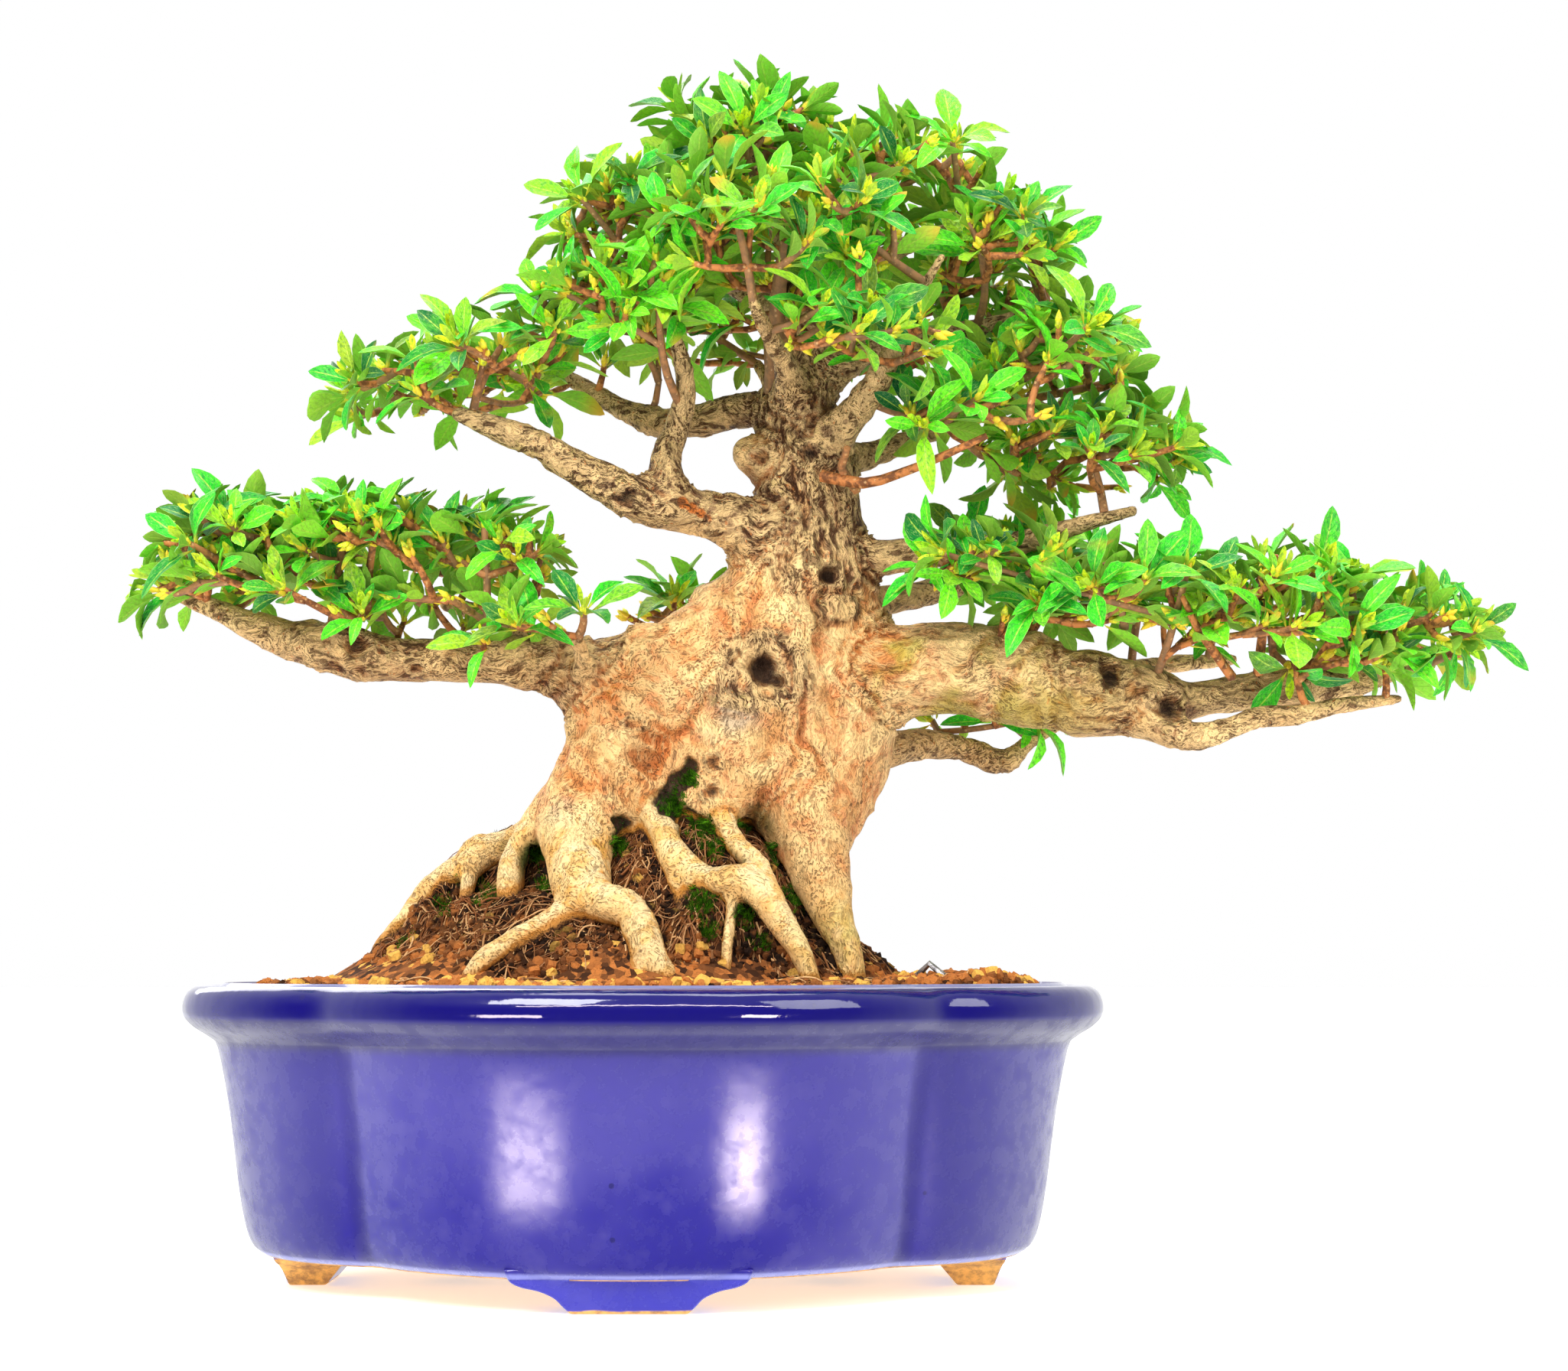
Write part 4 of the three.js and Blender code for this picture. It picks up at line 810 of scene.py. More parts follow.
def netOver(field, low, cell):  # the skin where the field is zero: one point for each crossed cell
    inside = field < 0
    corners = [(i, j, k) for i in (0, 1) for j in (0, 1) for k in (0, 1)]
    shape = np.array(field.shape) - 1
    window = lambda i, j, k: inside[i : i + shape[0], j : j + shape[1], k : k + shape[2]]
    count = sum(window(*c).astype(np.int8) for c in corners)
    cells = np.argwhere((count > 0) & (count < 8))
    number = np.full(shape, -1, np.int32)
    number[tuple(cells.T)] = np.arange(len(cells))
    values = np.stack([field[tuple((cells + c).T)] for c in corners], 1)
    total = np.zeros((len(cells), 3))
    crossings = np.zeros(len(cells))
    for one, a in enumerate(corners):
        for two, b in enumerate(corners):
            if two <= one or sum(abs(a[i] - b[i]) for i in range(3)) != 1:
                continue
            va, vb = values[:, one], values[:, two]
            crossed = (va < 0) != (vb < 0)
            t = np.where(crossed, va / np.where(crossed, va - vb, 1), 0)
            spot = np.array(a) + t[:, None] * (np.array(b) - np.array(a))
            total += spot * crossed[:, None]
            crossings += crossed
    points = low + (cells + total / crossings[:, None]) * cell
    faces = []
    for axis in range(3):
        u, v = (axis + 1) % 3, (axis + 2) % 3
        step = np.eye(3, dtype=int)
        first = tuple(slice(0, s - 1) if i == axis else slice(0, s) for i, s in enumerate(inside.shape))
        second = tuple(slice(1, s) if i == axis else slice(0, s) for i, s in enumerate(inside.shape))
        starts = np.argwhere(inside[first] != inside[second])
        starts = starts[(starts[:, u] > 0) & (starts[:, v] > 0)
                        & (starts[:, u] < shape[u]) & (starts[:, v] < shape[v])]
        ring = [starts - step[u] - step[v], starts - step[v], starts, starts - step[u]]
        quad = np.stack([number[tuple(r.T)] for r in ring], 1)
        leaving = inside[tuple(starts.T)]
        faces.append(np.where(leaving[:, None], quad, quad[:, ::-1]))
    return points, np.vstack(faces)


def neighbourMean(values, faces, rounds, share=0.5):  # evens out values over a skin of quads
    starts = faces.ravel()
    ends = np.roll(faces, -1, axis=1).ravel()
    a = np.concatenate([starts, ends])
    b = np.concatenate([ends, starts])
    counts = np.bincount(a, minlength=len(values))
    values = np.asarray(values, float)
    wide = values if values.ndim == 2 else values[:, None]
    for turn in range(rounds):
        mean = np.stack([np.bincount(a, wide[b, i], len(wide)) for i in range(wide.shape[1])], 1)
        wide = wide + share * (mean / counts[:, None] - wide)
    return wide if values.ndim == 2 else wide[:, 0]


def skinNormals(points, faces):
    p = points[faces]
    normal = np.cross(p[:, 2] - p[:, 0], p[:, 3] - p[:, 1])
    total = [np.bincount(faces.ravel(), np.repeat(normal[:, i], 4), len(points)) for i in range(3)]
    return unit(np.stack(total, 1))


# Scars where limbs were cut: pixel of the photo, width, depth of the hollow and height of the rim (mm),
# how much taller than wide it is, how dark it is inside, and how wide its ring of rough bark is
scars = {
    "greatRing": ((1003, 884), 22.0, 1.0, 1.2, 0.8, 0.0, 0.5),
    "greatWound": ((998, 872), 9.5, 4.0, 0.6, 1.2, 1.0, 0.5),
    "greatWoundSide": ((1019, 892), 5.6, 1.8, 0.8, 0.9, 0.75, 0.4),
    "neckKnob": ((1094, 793), 12.5, -2.6, -0.8, 0.75, 0.30, 0.3),
    "overKnob": ((1086, 752), 6.5, 3.0, 0.9, 1.1, 0.95, 0.5),
    "limbStump": ((1527, 925), 11.0, 1.4, 1.2, 1.0, 0.75, 0.5),
    "limbCleft": ((1452, 880), 7.0, 2.4, 0.8, 1.6, 0.8, 0.4),
    "leftStump": ((462, 842), 9.0, 1.2, 1.2, 0.9, 0.75, 0.5),
    "leftSmall": ((545, 872), 5.0, 0.8, 0.8, 0.9, 0.5, 0.4),
    "armStump": ((818, 651), 8.0, 1.0, 1.2, 0.7, 0.7, 0.5),
    "forkStump": ((1058, 594), 7.0, 1.2, 1.0, 0.9, 0.7, 0.5),
    "neckSpot": ((1028, 664), 5.0, 0.5, 0.5, 1.3, 0.45, 0.4),
    "collarStump": ((996, 600), 6.0, 1.2, 1.0, 1.0, 0.6, 0.5),
    "trunkSpotHigh": ((932, 996), 4.6, 0.8, 0.4, 1.0, 0.7, 0.3),
    "trunkSpotLow": ((931, 1035), 4.8, 1.0, 0.5, 1.0, 0.75, 0.3),
    "shoulderFlake": ((828, 945), 6.0, 0.6, 0.3, 0.6, 0.5, 0.3),
}
# Patches of another tone: pixel of the photo, width in mm, and how strong
tonePatches = {
    "warm": [((1066, 770), 11, 1.0), ((1150, 850), 26, 0.8), ((790, 905), 24, 0.6), ((900, 850), 20, 0.5),
             ((860, 985), 26, 0.6), ((1010, 770), 14, 0.4), ((1130, 1010), 26, 0.4), ((760, 1020), 22, 0.5)],
    "fresh": [((893, 657), 4.5, 0.9), ((905, 664), 4.2, 0.9), ((917, 671), 4.0, 0.8), ((928, 679), 3.4, 0.6)],
    "grey": [((962, 932), 16, 0.8), ((930, 960), 12, 0.4), ((730, 1060), 16, 0.5), ((1120, 620), 18, 0.4)],
}


gapLines = [  # where painted shade and moss draw a line over the wood, in pixels of the photo
    [(902, 1004), (886, 1026), (868, 1046), (886, 1062), (908, 1078), (926, 1100), (944, 1122)],
    [(968, 1078), (992, 1098), (1014, 1122)],
    [(814, 1078), (808, 1110)], [(702, 1112), (704, 1150)],
]
gapWidth = 3.0


def readGrid(grid, points):  # the value at the nearest point of the grid
    at = ((points - np.array(woodShape["low"])) / woodShape["cell"] + 0.5).astype(int)
    return grid[tuple(np.clip(at, 0, np.array(grid.shape) - 1).T)]


def paintTones(points, woodAt):
    tones = {key: np.zeros(len(points)) for key in (*tonePatches, "gap")}
    for key, patches in tonePatches.items():
        for pixel, wide, strength in patches:
            middle = woodAt(pixel)
            if middle is not None:
                away = rowLengths(points - middle) / (wide / 2)
                tones[key] = np.maximum(tones[key], strength * np.exp(-away * away))
    uneven = 1 + 0.5 * smoothNoise(points / 2.6)
    for line in gapLines:
        hits = [hit for hit in map(woodAt, line) if hit is not None]
        for a, b in zip(hits[:-1], hits[1:]):
            away = toSegment(points, a, b)[1] * uneven / gapWidth
            tones["gap"] = np.maximum(tones["gap"], np.exp(-(away ** 3)))
    return tones


def cutScars(points, normal, woodAt):  # the points with the scars cut in, and masks of pits and rims
    hollow, ring = np.zeros(len(points)), np.zeros(len(points))
    for name, (pixel, across, depth, rim, tall, dark, wide) in scars.items():
        middle = woodAt(pixel)
        if middle is None:
            print("no wood behind the scar", name)
            continue
        away = points - middle
        out = unit(normal[rowLengths(away) < across].mean(0))
        side = unit(np.cross((0, 0, 1), out))
        wobble = 1 + 0.35 * smoothNoise(points / (across * 0.4) + across)
        r = np.hypot(away @ side, (away @ np.cross(out, side)) / tall) / (across / 2) * wobble
        facingOut = smoothStep(0.0, 0.35, normal @ out) * (np.abs(away @ out) < 1.5 * across)
        pit = np.clip(1 - r * r, 0, 1) ** 1.2 * facingOut
        lipRing = np.exp(-(((r - 1.2) / 0.3) ** 2)) * facingOut
        points = points - out * (pit * depth)[:, None] + out * (lipRing * rim)[:, None]
        hollow = np.maximum(hollow, dark * np.clip(1.25 - r, 0, 1) * facingOut)
        ring = np.maximum(ring, np.exp(-(((r - 1.0) / wide) ** 2)) * facingOut)
    return points, np.clip(hollow, 0, 1), np.clip(ring, 0, 1)


def shapeWood():
    field, owner, pieces = carveWood()
    points, faces = netOver(field, np.array(woodShape["low"]), woodShape["cell"])
    points = neighbourMean(points, faces, 2, 0.4)
    normal = skinNormals(points, faces)
    nearest = readGrid(owner, points)
    names = [name for name, a, b in pieces]
    ways = np.array([unit((b - a)[:3]) for name, a, b in pieces])[nearest]
    thick = np.array([(a[3] + b[3]) / 2 for name, a, b in pieces])[nearest]
    kinds = [[n.startswith("root"), n in branchLimbs, n.startswith("lowRight")] for n in names]
    isRoot, isBranch, isRight = neighbourMean(np.array(kinds, float)[nearest], faces, 12).T
    ways = neighbourMean(ways * ways, faces, 8)
    ways = ways / np.maximum(ways.sum(1, keepdims=True), 1e-6)
    size = np.clip(neighbourMean(thick, faces, 10) / 10, 0.25, 1.6)
    # muscles, folds and flakes, all stronger along the grain
    drawn = lambda size, stretch: points / (size * (1 + (stretch - 1) * ways))
    muscles = smoothNoise(drawn(17.0, 2.2) + 2.9)
    folds = smoothNoise(drawn(8.0, 3.0) + 5.1)
    ridges = 1 - np.abs(smoothNoise(drawn(5.0, 4.0) + 31.7)) * 2
    flakes = smoothNoise(drawn(2.6, 1.9) + 11.3)
    height = points[:, 2]
    upper = smoothStep(200, 250, height)
    isRight = isRight * smoothStep(150, 100, points[:, 0])
    rough = np.clip(isBranch * (0.60 + 0.40 * upper) + 0.35 * upper, 0, 1) * (1 - 0.55 * isRight)
    lift = size * (0.9 * muscles + 0.9 * folds + 0.45 * ridges * (1 - 0.5 * isRoot))
    lift += (0.22 + 0.45 * rough) * flakes * np.clip(size, 0.4, 1)
    lift += rough * size * 1.2 * np.maximum(0, smoothNoise(drawn(4.0, 1.4) + 77.7)) ** 2
    points = points + normal * lift[:, None]
    tree = BVHTree.FromPolygons(points.tolist(), faces.tolist())

    def woodAt(pixel):
        hit = tree.ray_cast(*pixelRay(*pixel))[0]
        return None if hit is None else np.array(hit)

    tones = paintTones(points, woodAt)
    points, hollow, ring = cutScars(points, normal, woodAt)
    points = points - normal * (2.2 * smoothStep(0.25, 0.9, tones["gap"]))[:, None]
    normal = skinNormals(points, faces)
    # shade under and between the limbs, from how near other wood is outwards
    crevice = np.zeros(len(points))
    for reach, share in ((3.5, 0.45), (8.0, 0.55)):
        crevice += share * (1 - np.clip(readGrid(field, points + normal * reach) / reach, 0, 1))
    near = neighbourMean(points, faces, 3)
    wide = neighbourMean(near, faces, 12)
    cavity = np.sum((near - points) * normal, 1) / 0.22 + np.sum((wide - near) * normal, 1) / 0.5
    ground = height - massHeight(points[:, 0], points[:, 1])
    algae = isRight + smoothStep(118, 92, height) * smoothStep(40, 56, points[:, 0])
    print("wood:", len(points), "points")
    return points, faces, {
        "grainWay": ways, "rootTone": np.clip(isRoot + smoothStep(128, 100, height) * 0.8, 0, 1),
        "branchTone": rough, "algae": np.clip(algae, 0, 1), "hollow": hollow, "ring": ring,
        "crevice": np.clip(neighbourMean(crevice, faces, 3), 0, 1), "facing": 0.5 + 0.5 * normal[:, 2],
        "stain": smoothStep(6.8, 0.3, ground), "cavity": np.clip(0.5 + 0.5 * cavity, 0, 1), **tones,
    }


barkLook = {
    "cream": (0.97, 0.65, 0.28, 1),
    "tan": (0.70, 0.35, 0.12, 1),
    "rose": (0.80, 0.32, 0.125, 1),
    "orange": (0.70, 0.21, 0.040, 1),
    "rootCream": (0.90, 0.58, 0.22, 1),
    "rootTopHighlight": (1.0, 0.80, 0.45, 1),
    "rootTan": (0.80, 0.40, 0.075, 1),
    "branchPale": (0.52, 0.325, 0.150, 1),
    "branchDark": (0.105, 0.050, 0.024, 1),
    "dashAndShade": (0.10, 0.036, 0.012, 1),
    "crackAndShade": (0.030, 0.015, 0.008, 1),
    "fresh": (0.58, 0.16, 0.030, 1),
    "grey": (0.46, 0.38, 0.27, 1),
    "algae": (0.42, 0.42, 0.05, 1),
    "moss": (0.030, 0.080, 0.006, 1),
    "wetEdgeAndShade": (0.55, 0.21, 0.025, 1),
    "earth": (0.075, 0.030, 0.012, 1),
}


def makeBark():
    material, place = newMaterial("azaleaBark", 0.62, 0.18)
    look = barkLook
    way = read(material, "grainWay", "Vector")
    mask = {key: read(material, key) for key in woodMasks if key != "grainWay"}
    swirl = shade("ShaderNodeTexNoise", {"Vector": place, "Scale": 110.0}, "Color")
    push = shade("ShaderNodeVectorMath", {0: swirl, 1: (0.009, 0.009, 0.009)}, operation="MULTIPLY")
    warped = shade("ShaderNodeVectorMath", {0: place, 1: push}, operation="ADD")
    slow = noise(place, 42.0, 4.0, 0.6)
    mid = noise(warped, 150.0, 4.0, 0.6)
    streak = grain(warped, way, 520.0, 0.28)
    fine = grain(warped, way, 1700.0, 0.42)
    # the trunk: cream, tan and rose patches with warm ones, and the roots: a painted highlight on their tops
    # and painted shade on their undersides
    root = layered(
        mixColour(fade(mid, 0.42, 0.62), look["rootCream"], look["rootTan"]),
        # painted highlight on the tops of the roots
        (fade(mask["facing"], 0.52, 0.84) * fade(mid, 0.60, 0.46), look["rootTopHighlight"]),
        # painted shade on the undersides of the roots
        (fade(mask["facing"], 0.54, 0.20) * 0.75, look["wetEdgeAndShade"]),
    )
    colour = layered(
        mixColour(fade(slow, 0.40, 0.60), look["cream"], look["tan"]),
        (fade(mid, 0.46, 0.60) * 0.7, look["rose"]),
        (fade(mask["warm"] + mid * 0.6, 0.42, 1.0) * 0.85, look["orange"]),
        (mask["rootTone"] * 0.85, root),
        (fade(mask["grey"] + mid * 0.5, 0.45, 0.9) * 0.7, look["grey"]),
    )
    # limbs: duller and darker, in long flakes
    branch = mixColour(fade(streak, 0.44, 0.58), look["branchPale"], look["branchDark"])
    branch = mixColour(fade(slow, 0.46, 0.60) * 0.55, branch, look["branchDark"])
    rugged = larger(mask["branchTone"], mask["ring"] * 0.8)
    ruggedMask = fade(rugged + (mid - 0.5) * 1.3, 0.12, 0.95) * fade(rugged, 0.03, 0.25)
    colour = mixColour(ruggedMask * 0.95, colour, branch)
    # relief in colour: painted highlight on ridges, painted shade in valleys, and dark dashes
    colour = mixColour(fade(mask["cavity"], 0.52, 0.95) * 0.50, colour, look["tan"], "MULTIPLY")
    growth = larger(mask["algae"] * fade(slow, 0.42, 0.58), fade(mid, 0.60, 0.70) * 0.25)
    fields = fade(noise(place, 95.0), 0.38, 0.60)
    onRoot = 1.0 - mask["rootTone"] * 0.12
    dashes = fade(fine, 0.52, 0.60) * (fields * (0.40 + ruggedMask * 0.5) + 0.30) * onRoot
    longer = fade(streak, 0.56, 0.62) * (0.26 + ruggedMask * 0.55) * (onRoot * onRoot)
    dots = specks(warped, 760.0, 0.27, 0.24) * fade(mid, 0.36, 0.56)
    # painted shade in the crevices and the gaps, hollows, moss in the shade near the ground, and earth
    shaded = fade(mask["crevice"], 0.22, 0.80)
    mossy = shaded * fade(part(place, 2), 0.152, 0.118) * fade(mid, 0.36, 0.52)
    dark = fade(mask["hollow"] + (mid - 0.5) * 0.5, 0.22, 0.78)
    # painted shade and moss along the gaps between the roots
    gap = fade(mask["gap"] + (mid - 0.5) * 1.2, 0.3, 0.6)
    inGap = mixColour(fade(fine, 0.52, 0.62), look["crackAndShade"], look["moss"])
    earthy = mask["stain"] + (fine - 0.5) * 0.8
    colour = layered(
        colour,
        # painted highlight on the ridges
        (fade(mask["cavity"], 0.48, 0.15) * 0.45, look["cream"]),
        (fade(streak, 0.46, 0.38) * 0.40, look["cream"]),
        (growth * 0.6, look["algae"]),
        (fade(mask["fresh"], 0.35, 0.6), look["fresh"]),
        (dashes * 0.8, look["dashAndShade"]),
        (longer, look["dashAndShade"]),
        (dots * 0.6, look["fresh"]),
        (specks(warped, 300.0, 0.24, 0.12) * 0.6, look["branchDark"]),
        # painted shade in the crevices under and between the limbs
        (shaded * 0.60, look["dashAndShade"]),
        (mossy, look["moss"]),
        (dark * 0.93, look["crackAndShade"]),
        (gap * 0.95, inGap),
        # a wet stain and earth near the ground
        (fade(earthy, 0.18, 0.60) * 0.85, look["wetEdgeAndShade"]),
        (fade(earthy, 0.70, 1.02), look["earth"]),
    )
    # relief in shape
    lift = mid * 0.7 - dashes * 0.5 - longer * 0.8 + streak * (0.5 + ruggedMask * 0.8) + fine * 0.35
    return finish(material, {"Base Color": colour, "Normal": bump(lift, 1.0, 0.0022)})


# The soil's own height, which the roots and the moss need as well

soilShape = {
    "shelf": 85.2,
    "moundMiddle": (-7.0, 9.0),
    "moundHalfWidth": 82.0,
    "moundHalfDepth": 63.0,
    "moundRise": 34.0,
    "fullness": 0.8,
}


def soilHeight(x, y):
    look = soilShape
    across = (x - look["moundMiddle"][0]) / look["moundHalfWidth"]
    deep = (y - look["moundMiddle"][1]) / look["moundHalfDepth"]
    inside = np.maximum(0, 1 - across * across - deep * deep)
    return look["shelf"] + look["moundRise"] * inside ** look["fullness"]


# The mass of old soil and fine roots that fills the room between the roots, and the painted shade beside the
# roots

massShape = {
    "middle": (-4.0, 12.0),
    "half": (74.0, 61.0, 52.0),     # to the left, to the right, and front to back
    "bulge": 12.0,           # how much further it comes forward right of the middle
    "low": 84.0,
    "rise": 56.0,
    "power": 2.2,
    "fullness": 0.55,
    "rootSlope": 1.6,        # how steeply it climbs beside a root
    "buried": ("rootFineA", "rootFineB", "rootToe"),
    "shadeReach": 8.0,       # how far from a root the painted shade reaches, mm
    "step": 1.5,
}


def makeMassGrid():
    look = massShape
    x, y = np.arange(-132, 133, look["step"]), np.arange(-105, 106, look["step"])
    px, py = np.meshgrid(x, y, indexing="ij")
    flat = np.stack([px.ravel(), py.ravel()], 1)
    across, deep = px - look["middle"][0], py - look["middle"][1]
    across = np.abs(across) / np.where(across < 0, look["half"][0], look["half"][1])
    deep = np.abs(deep) / (look["half"][2] + np.where(deep < 0, look["bulge"] * smoothStep(-12, 4, px), 0))
    inside = np.maximum(0, 1 - across ** look["power"] - deep ** look["power"])
    mass = look["low"] + look["rise"] * inside ** look["fullness"]
    limit = np.full(len(flat), 1e3)
    beside = np.zeros(len(flat))
    for name, route in trunkLimbs.items():
        if not name.startswith("root") and name != "trunkRight" or name in look["buried"]:
            continue
        line = smoothLine(route, 3.0)
        for a, b in zip(line[:-1], line[1:]):
            t, gap = toSegment(flat, a[:2], b[:2])
            z, r = (a[i] + (b[i] - a[i]) * t for i in (2, 3))
            beside = np.maximum(beside, smoothStep(look["shadeReach"], 0.5, gap - 0.9 * r))
            limit = np.minimum(limit, z - 0.15 * r + look["rootSlope"] * np.maximum(0, gap - 0.8 * r))
    height = np.maximum(soilHeight(px, py), np.minimum(mass, limit.reshape(px.shape)))
    return x, y, height, beside.reshape(px.shape)


massX, massY, massZ, massShade = makeMassGrid()


def massHeight(x, y, grid=massZ):  # read from the grid, between its points
    u = np.clip((x - massX[0]) / massShape["step"], 0, len(massX) - 1.001)
    v = np.clip((y - massY[0]) / massShape["step"], 0, len(massY) - 1.001)
    i, j = u.astype(int), v.astype(int)
    u, v = u - i, v - j
    return ((grid[i, j] * (1 - u) + grid[i + 1, j] * u) * (1 - v)
            + (grid[i, j + 1] * (1 - u) + grid[i + 1, j + 1] * u) * v)


woodPoints, woodFaces, woodMasks = shapeWood()
wood = build("trunk_and_limbs", woodPoints, woodFaces.tolist(), (), woodMasks, makeBark())
wood.data.shade_smooth()
wear(wood, "bark", "trunk")


# The soil: grains of baked clay on the mound, thin pale roots, and moss

grainShape = {
    "seed": 41,
    "spacing": 1.95,         # least distance between two grains
    "sizeLow": 0.6,
    "sizeHigh": 1.55,
    "heap": (92.0, -20.0, 24.0, 3.4),    # a small heap in front on the right: x, y, width, rise
    "roughness": 1.3,
    "fineOnMass": 0.62,      # grains there, against grains on the flat
    "rootCount": 2150,
    "rootReach": (12.0, 34.0),
}


def bedHeight(x, y):  # the mound with its small unevenness
    fine = np.stack([x / 4.0, y / 4.0, np.zeros(len(x)) + 9.3], 1)
    heapX, heapY, wide, rise = grainShape["heap"]
    heap = rise * np.exp(-(((x - heapX) / wide) ** 2 + ((y - heapY) / wide) ** 2))
    mass = massHeight(x, y)
    clods = 1.6 * smoothNoise(fine * 0.8 + 3.3) * smoothStep(1.0, 6.0, mass - soilHeight(x, y))
    rough = grainShape["roughness"] * flatNoise(x, y, 11.0, 3.3)
    return mass + rough + 0.5 * smoothNoise(fine) + heap + clods


def bedReach(angle):
    return planReach(angle, -5.2)


def makeBed():  # the surface that the grains are scattered on
    rings, turns = 46, 150
    angle = np.arange(turns) * 2 * math.pi / turns
    reach = bedReach(angle)
    points = [np.array([[0.0, 0.0]])]
    for i in range(1, rings + 1):
        r = reach * (i / rings)
        points.append(np.stack([r * np.cos(angle), r * np.sin(angle)], 1))
    flat = np.vstack(points)
    z = bedHeight(flat[:, 0], flat[:, 1])
    edge = np.concatenate([[0]] + [np.full(turns, i / rings) for i in range(1, rings + 1)])
    low = 81.6 + 0.6 * flatNoise(*flat.T, 7.0)
    z = z + (low - z) * smoothStep(0.93, 1.0, edge)
    faces = [(0, 1 + j, 1 + (j + 1) % turns) for j in range(turns)]
    for i in range(rings - 1):
        a, b = 1 + i * turns, 1 + (i + 1) * turns
        faces += [(a + j, b + j, b + (j + 1) % turns, a + (j + 1) % turns) for j in range(turns)]
    steep = smoothStep(2.0, 9.0, z - soilHeight(flat[:, 0], flat[:, 1]))
    coarse = 1 - (1 - grainShape["fineOnMass"]) * np.maximum(steep, 0.6 * smoothStep(88, 100, z))
    beside = massHeight(flat[:, 0], flat[:, 1], massShade)
    return np.column_stack([flat, z]), faces, coarse, beside, turns


def closeBed(points, faces, turns):  # the bed with a skirt and a floor, so that it is a closed skin
    skirt = points[-turns:] * (0.97, 0.97, 0) + (0, 0, 77.5)
    first = len(points)
    middle = first + turns
    under = []
    for j in range(turns):
        k = (j + 1) % turns
        under.append((first - turns + j, first + j, first + k, first - turns + k))
        under.append((middle, first + k, first + j))
    return np.vstack([points - (0, 0, 0.35), skirt, [[0, 0, 77.5]]]), faces + under


def looseShape(name, points, faces):  # an object that is only copied, and isn't in the scene itself
    mesh = bpy.data.meshes.new(name)
    mesh.from_pydata(points, [], faces)
    return bpy.data.objects.new(name, mesh)


def shelfOf(name, shapes):
    shelf = bpy.data.collections.new(name)
    for shape in shapes:
        shelf.objects.link(shape)
    return shelf


def makeGrainShapes(rng):  # a few lumpy grains of 24 quads each
    shapes = []
    for variant in range(7):
        lump = bmesh.new()
        bmesh.ops.create_cube(lump, size=1.0)
        bmesh.ops.subdivide_edges(lump, edges=lump.edges[:], cuts=1, use_grid_fill=True)
        stretch = 0.78 + 0.5 * rng.random(3)
        for vert in lump.verts:
            away = np.array(vert.co)
            ball = away / np.linalg.norm(away) * 0.62
            vert.co = (0.45 * away + 0.55 * ball) * stretch * (0.88 + 0.26 * rng.random())
        shape = looseShape(f"grainShape{variant}", [], [])
        lump.to_mesh(shape.data)
        lump.free()
        shapes.append(shape)
    return shelfOf("grainShapes", shapes)


def named(tree, name, kind="FLOAT"):  # reads an attribute of the points in a geometry tree
    node = put(tree, "GeometryNodeInputNamedAttribute", {"Name": name}, data_type=kind)
    return node.outputs[0]


def copyOnto(tree, points, shapes, **inputs):  # copies of the shapes in a collection
    shapes = put(tree, "GeometryNodeCollectionInfo", {
        "Collection": shapes, "Separate Children": True, "Reset Children": True}).outputs[0]
    return put(tree, "GeometryNodeInstanceOnPoints", {
        "Points": points, "Instance": shapes, "Pick Instance": True, **inputs}).outputs[0]


def endTree(tree, geometry, material, end):
    real = put(tree, "GeometryNodeRealizeInstances", {0: geometry}).outputs[0]
    dressed = put(tree, "GeometryNodeSetMaterial", {0: real, "Material": material})
    tree.links.new(dressed.outputs[0], end.inputs[0])
    return tree


def makeScatterTree():  # points on faces, each with a turned and scaled shape from a collection
    tree, start, end = newTree("scatterOnFaces", {
        "Geometry": "Geometry", "Shapes": "Collection", "Spacing": "Float", "Size Low": "Float",
        "Size High": "Float", "Material": "Material", "Seed": "Int"})
    given = start.outputs
    points = put(tree, "GeometryNodeDistributePointsOnFaces", {
        "Mesh": given["Geometry"], "Distance Min": given["Spacing"], "Density Max": 4.0e5,
        "Seed": given["Seed"]}, distribute_method="POISSON")
    spin = put(tree, "FunctionNodeRandomValue", {1: (fullTurn,) * 3}, data_type="FLOAT_VECTOR")
    size = put(tree, "FunctionNodeRandomValue", {2: given["Size Low"], 3: given["Size High"]},
               data_type="FLOAT")
    scale = put(tree, "ShaderNodeMath", {0: size.outputs[1], 1: named(tree, "coarse")},
                operation="MULTIPLY")
    copies = copyOnto(tree, points.outputs["Points"], given["Shapes"], Rotation=spin.outputs[0],
                      Scale=scale.outputs[0])
    tint = put(tree, "FunctionNodeRandomValue", data_type="FLOAT")
    tagged = put(tree, "GeometryNodeStoreNamedAttribute", {
        "Geometry": copies, "Name": "tint", "Value": tint.outputs[1]}, data_type="FLOAT",
        domain="INSTANCE")
    return endTree(tree, tagged.outputs[0], given["Material"], end)


def makeTubeTree():  # a skin round edges, as thick as their points say
    tree, start, end = newTree("skinRoundEdges", {
        "Geometry": "Geometry", "Sides": "Int", "Material": "Material"})
    curve = put(tree, "GeometryNodeMeshToCurve", {0: start.outputs["Geometry"]}).outputs[0]
    ring = put(tree, "GeometryNodeCurvePrimitiveCircle",
               {"Resolution": start.outputs["Sides"], "Radius": 1.0}).outputs[0]
    tube = put(tree, "GeometryNodeCurveToMesh", {
        "Curve": curve, "Profile Curve": ring, "Scale": named(tree, "thick"), "Fill Caps": True})
    return endTree(tree, tube.outputs[0], start.outputs["Material"], end)


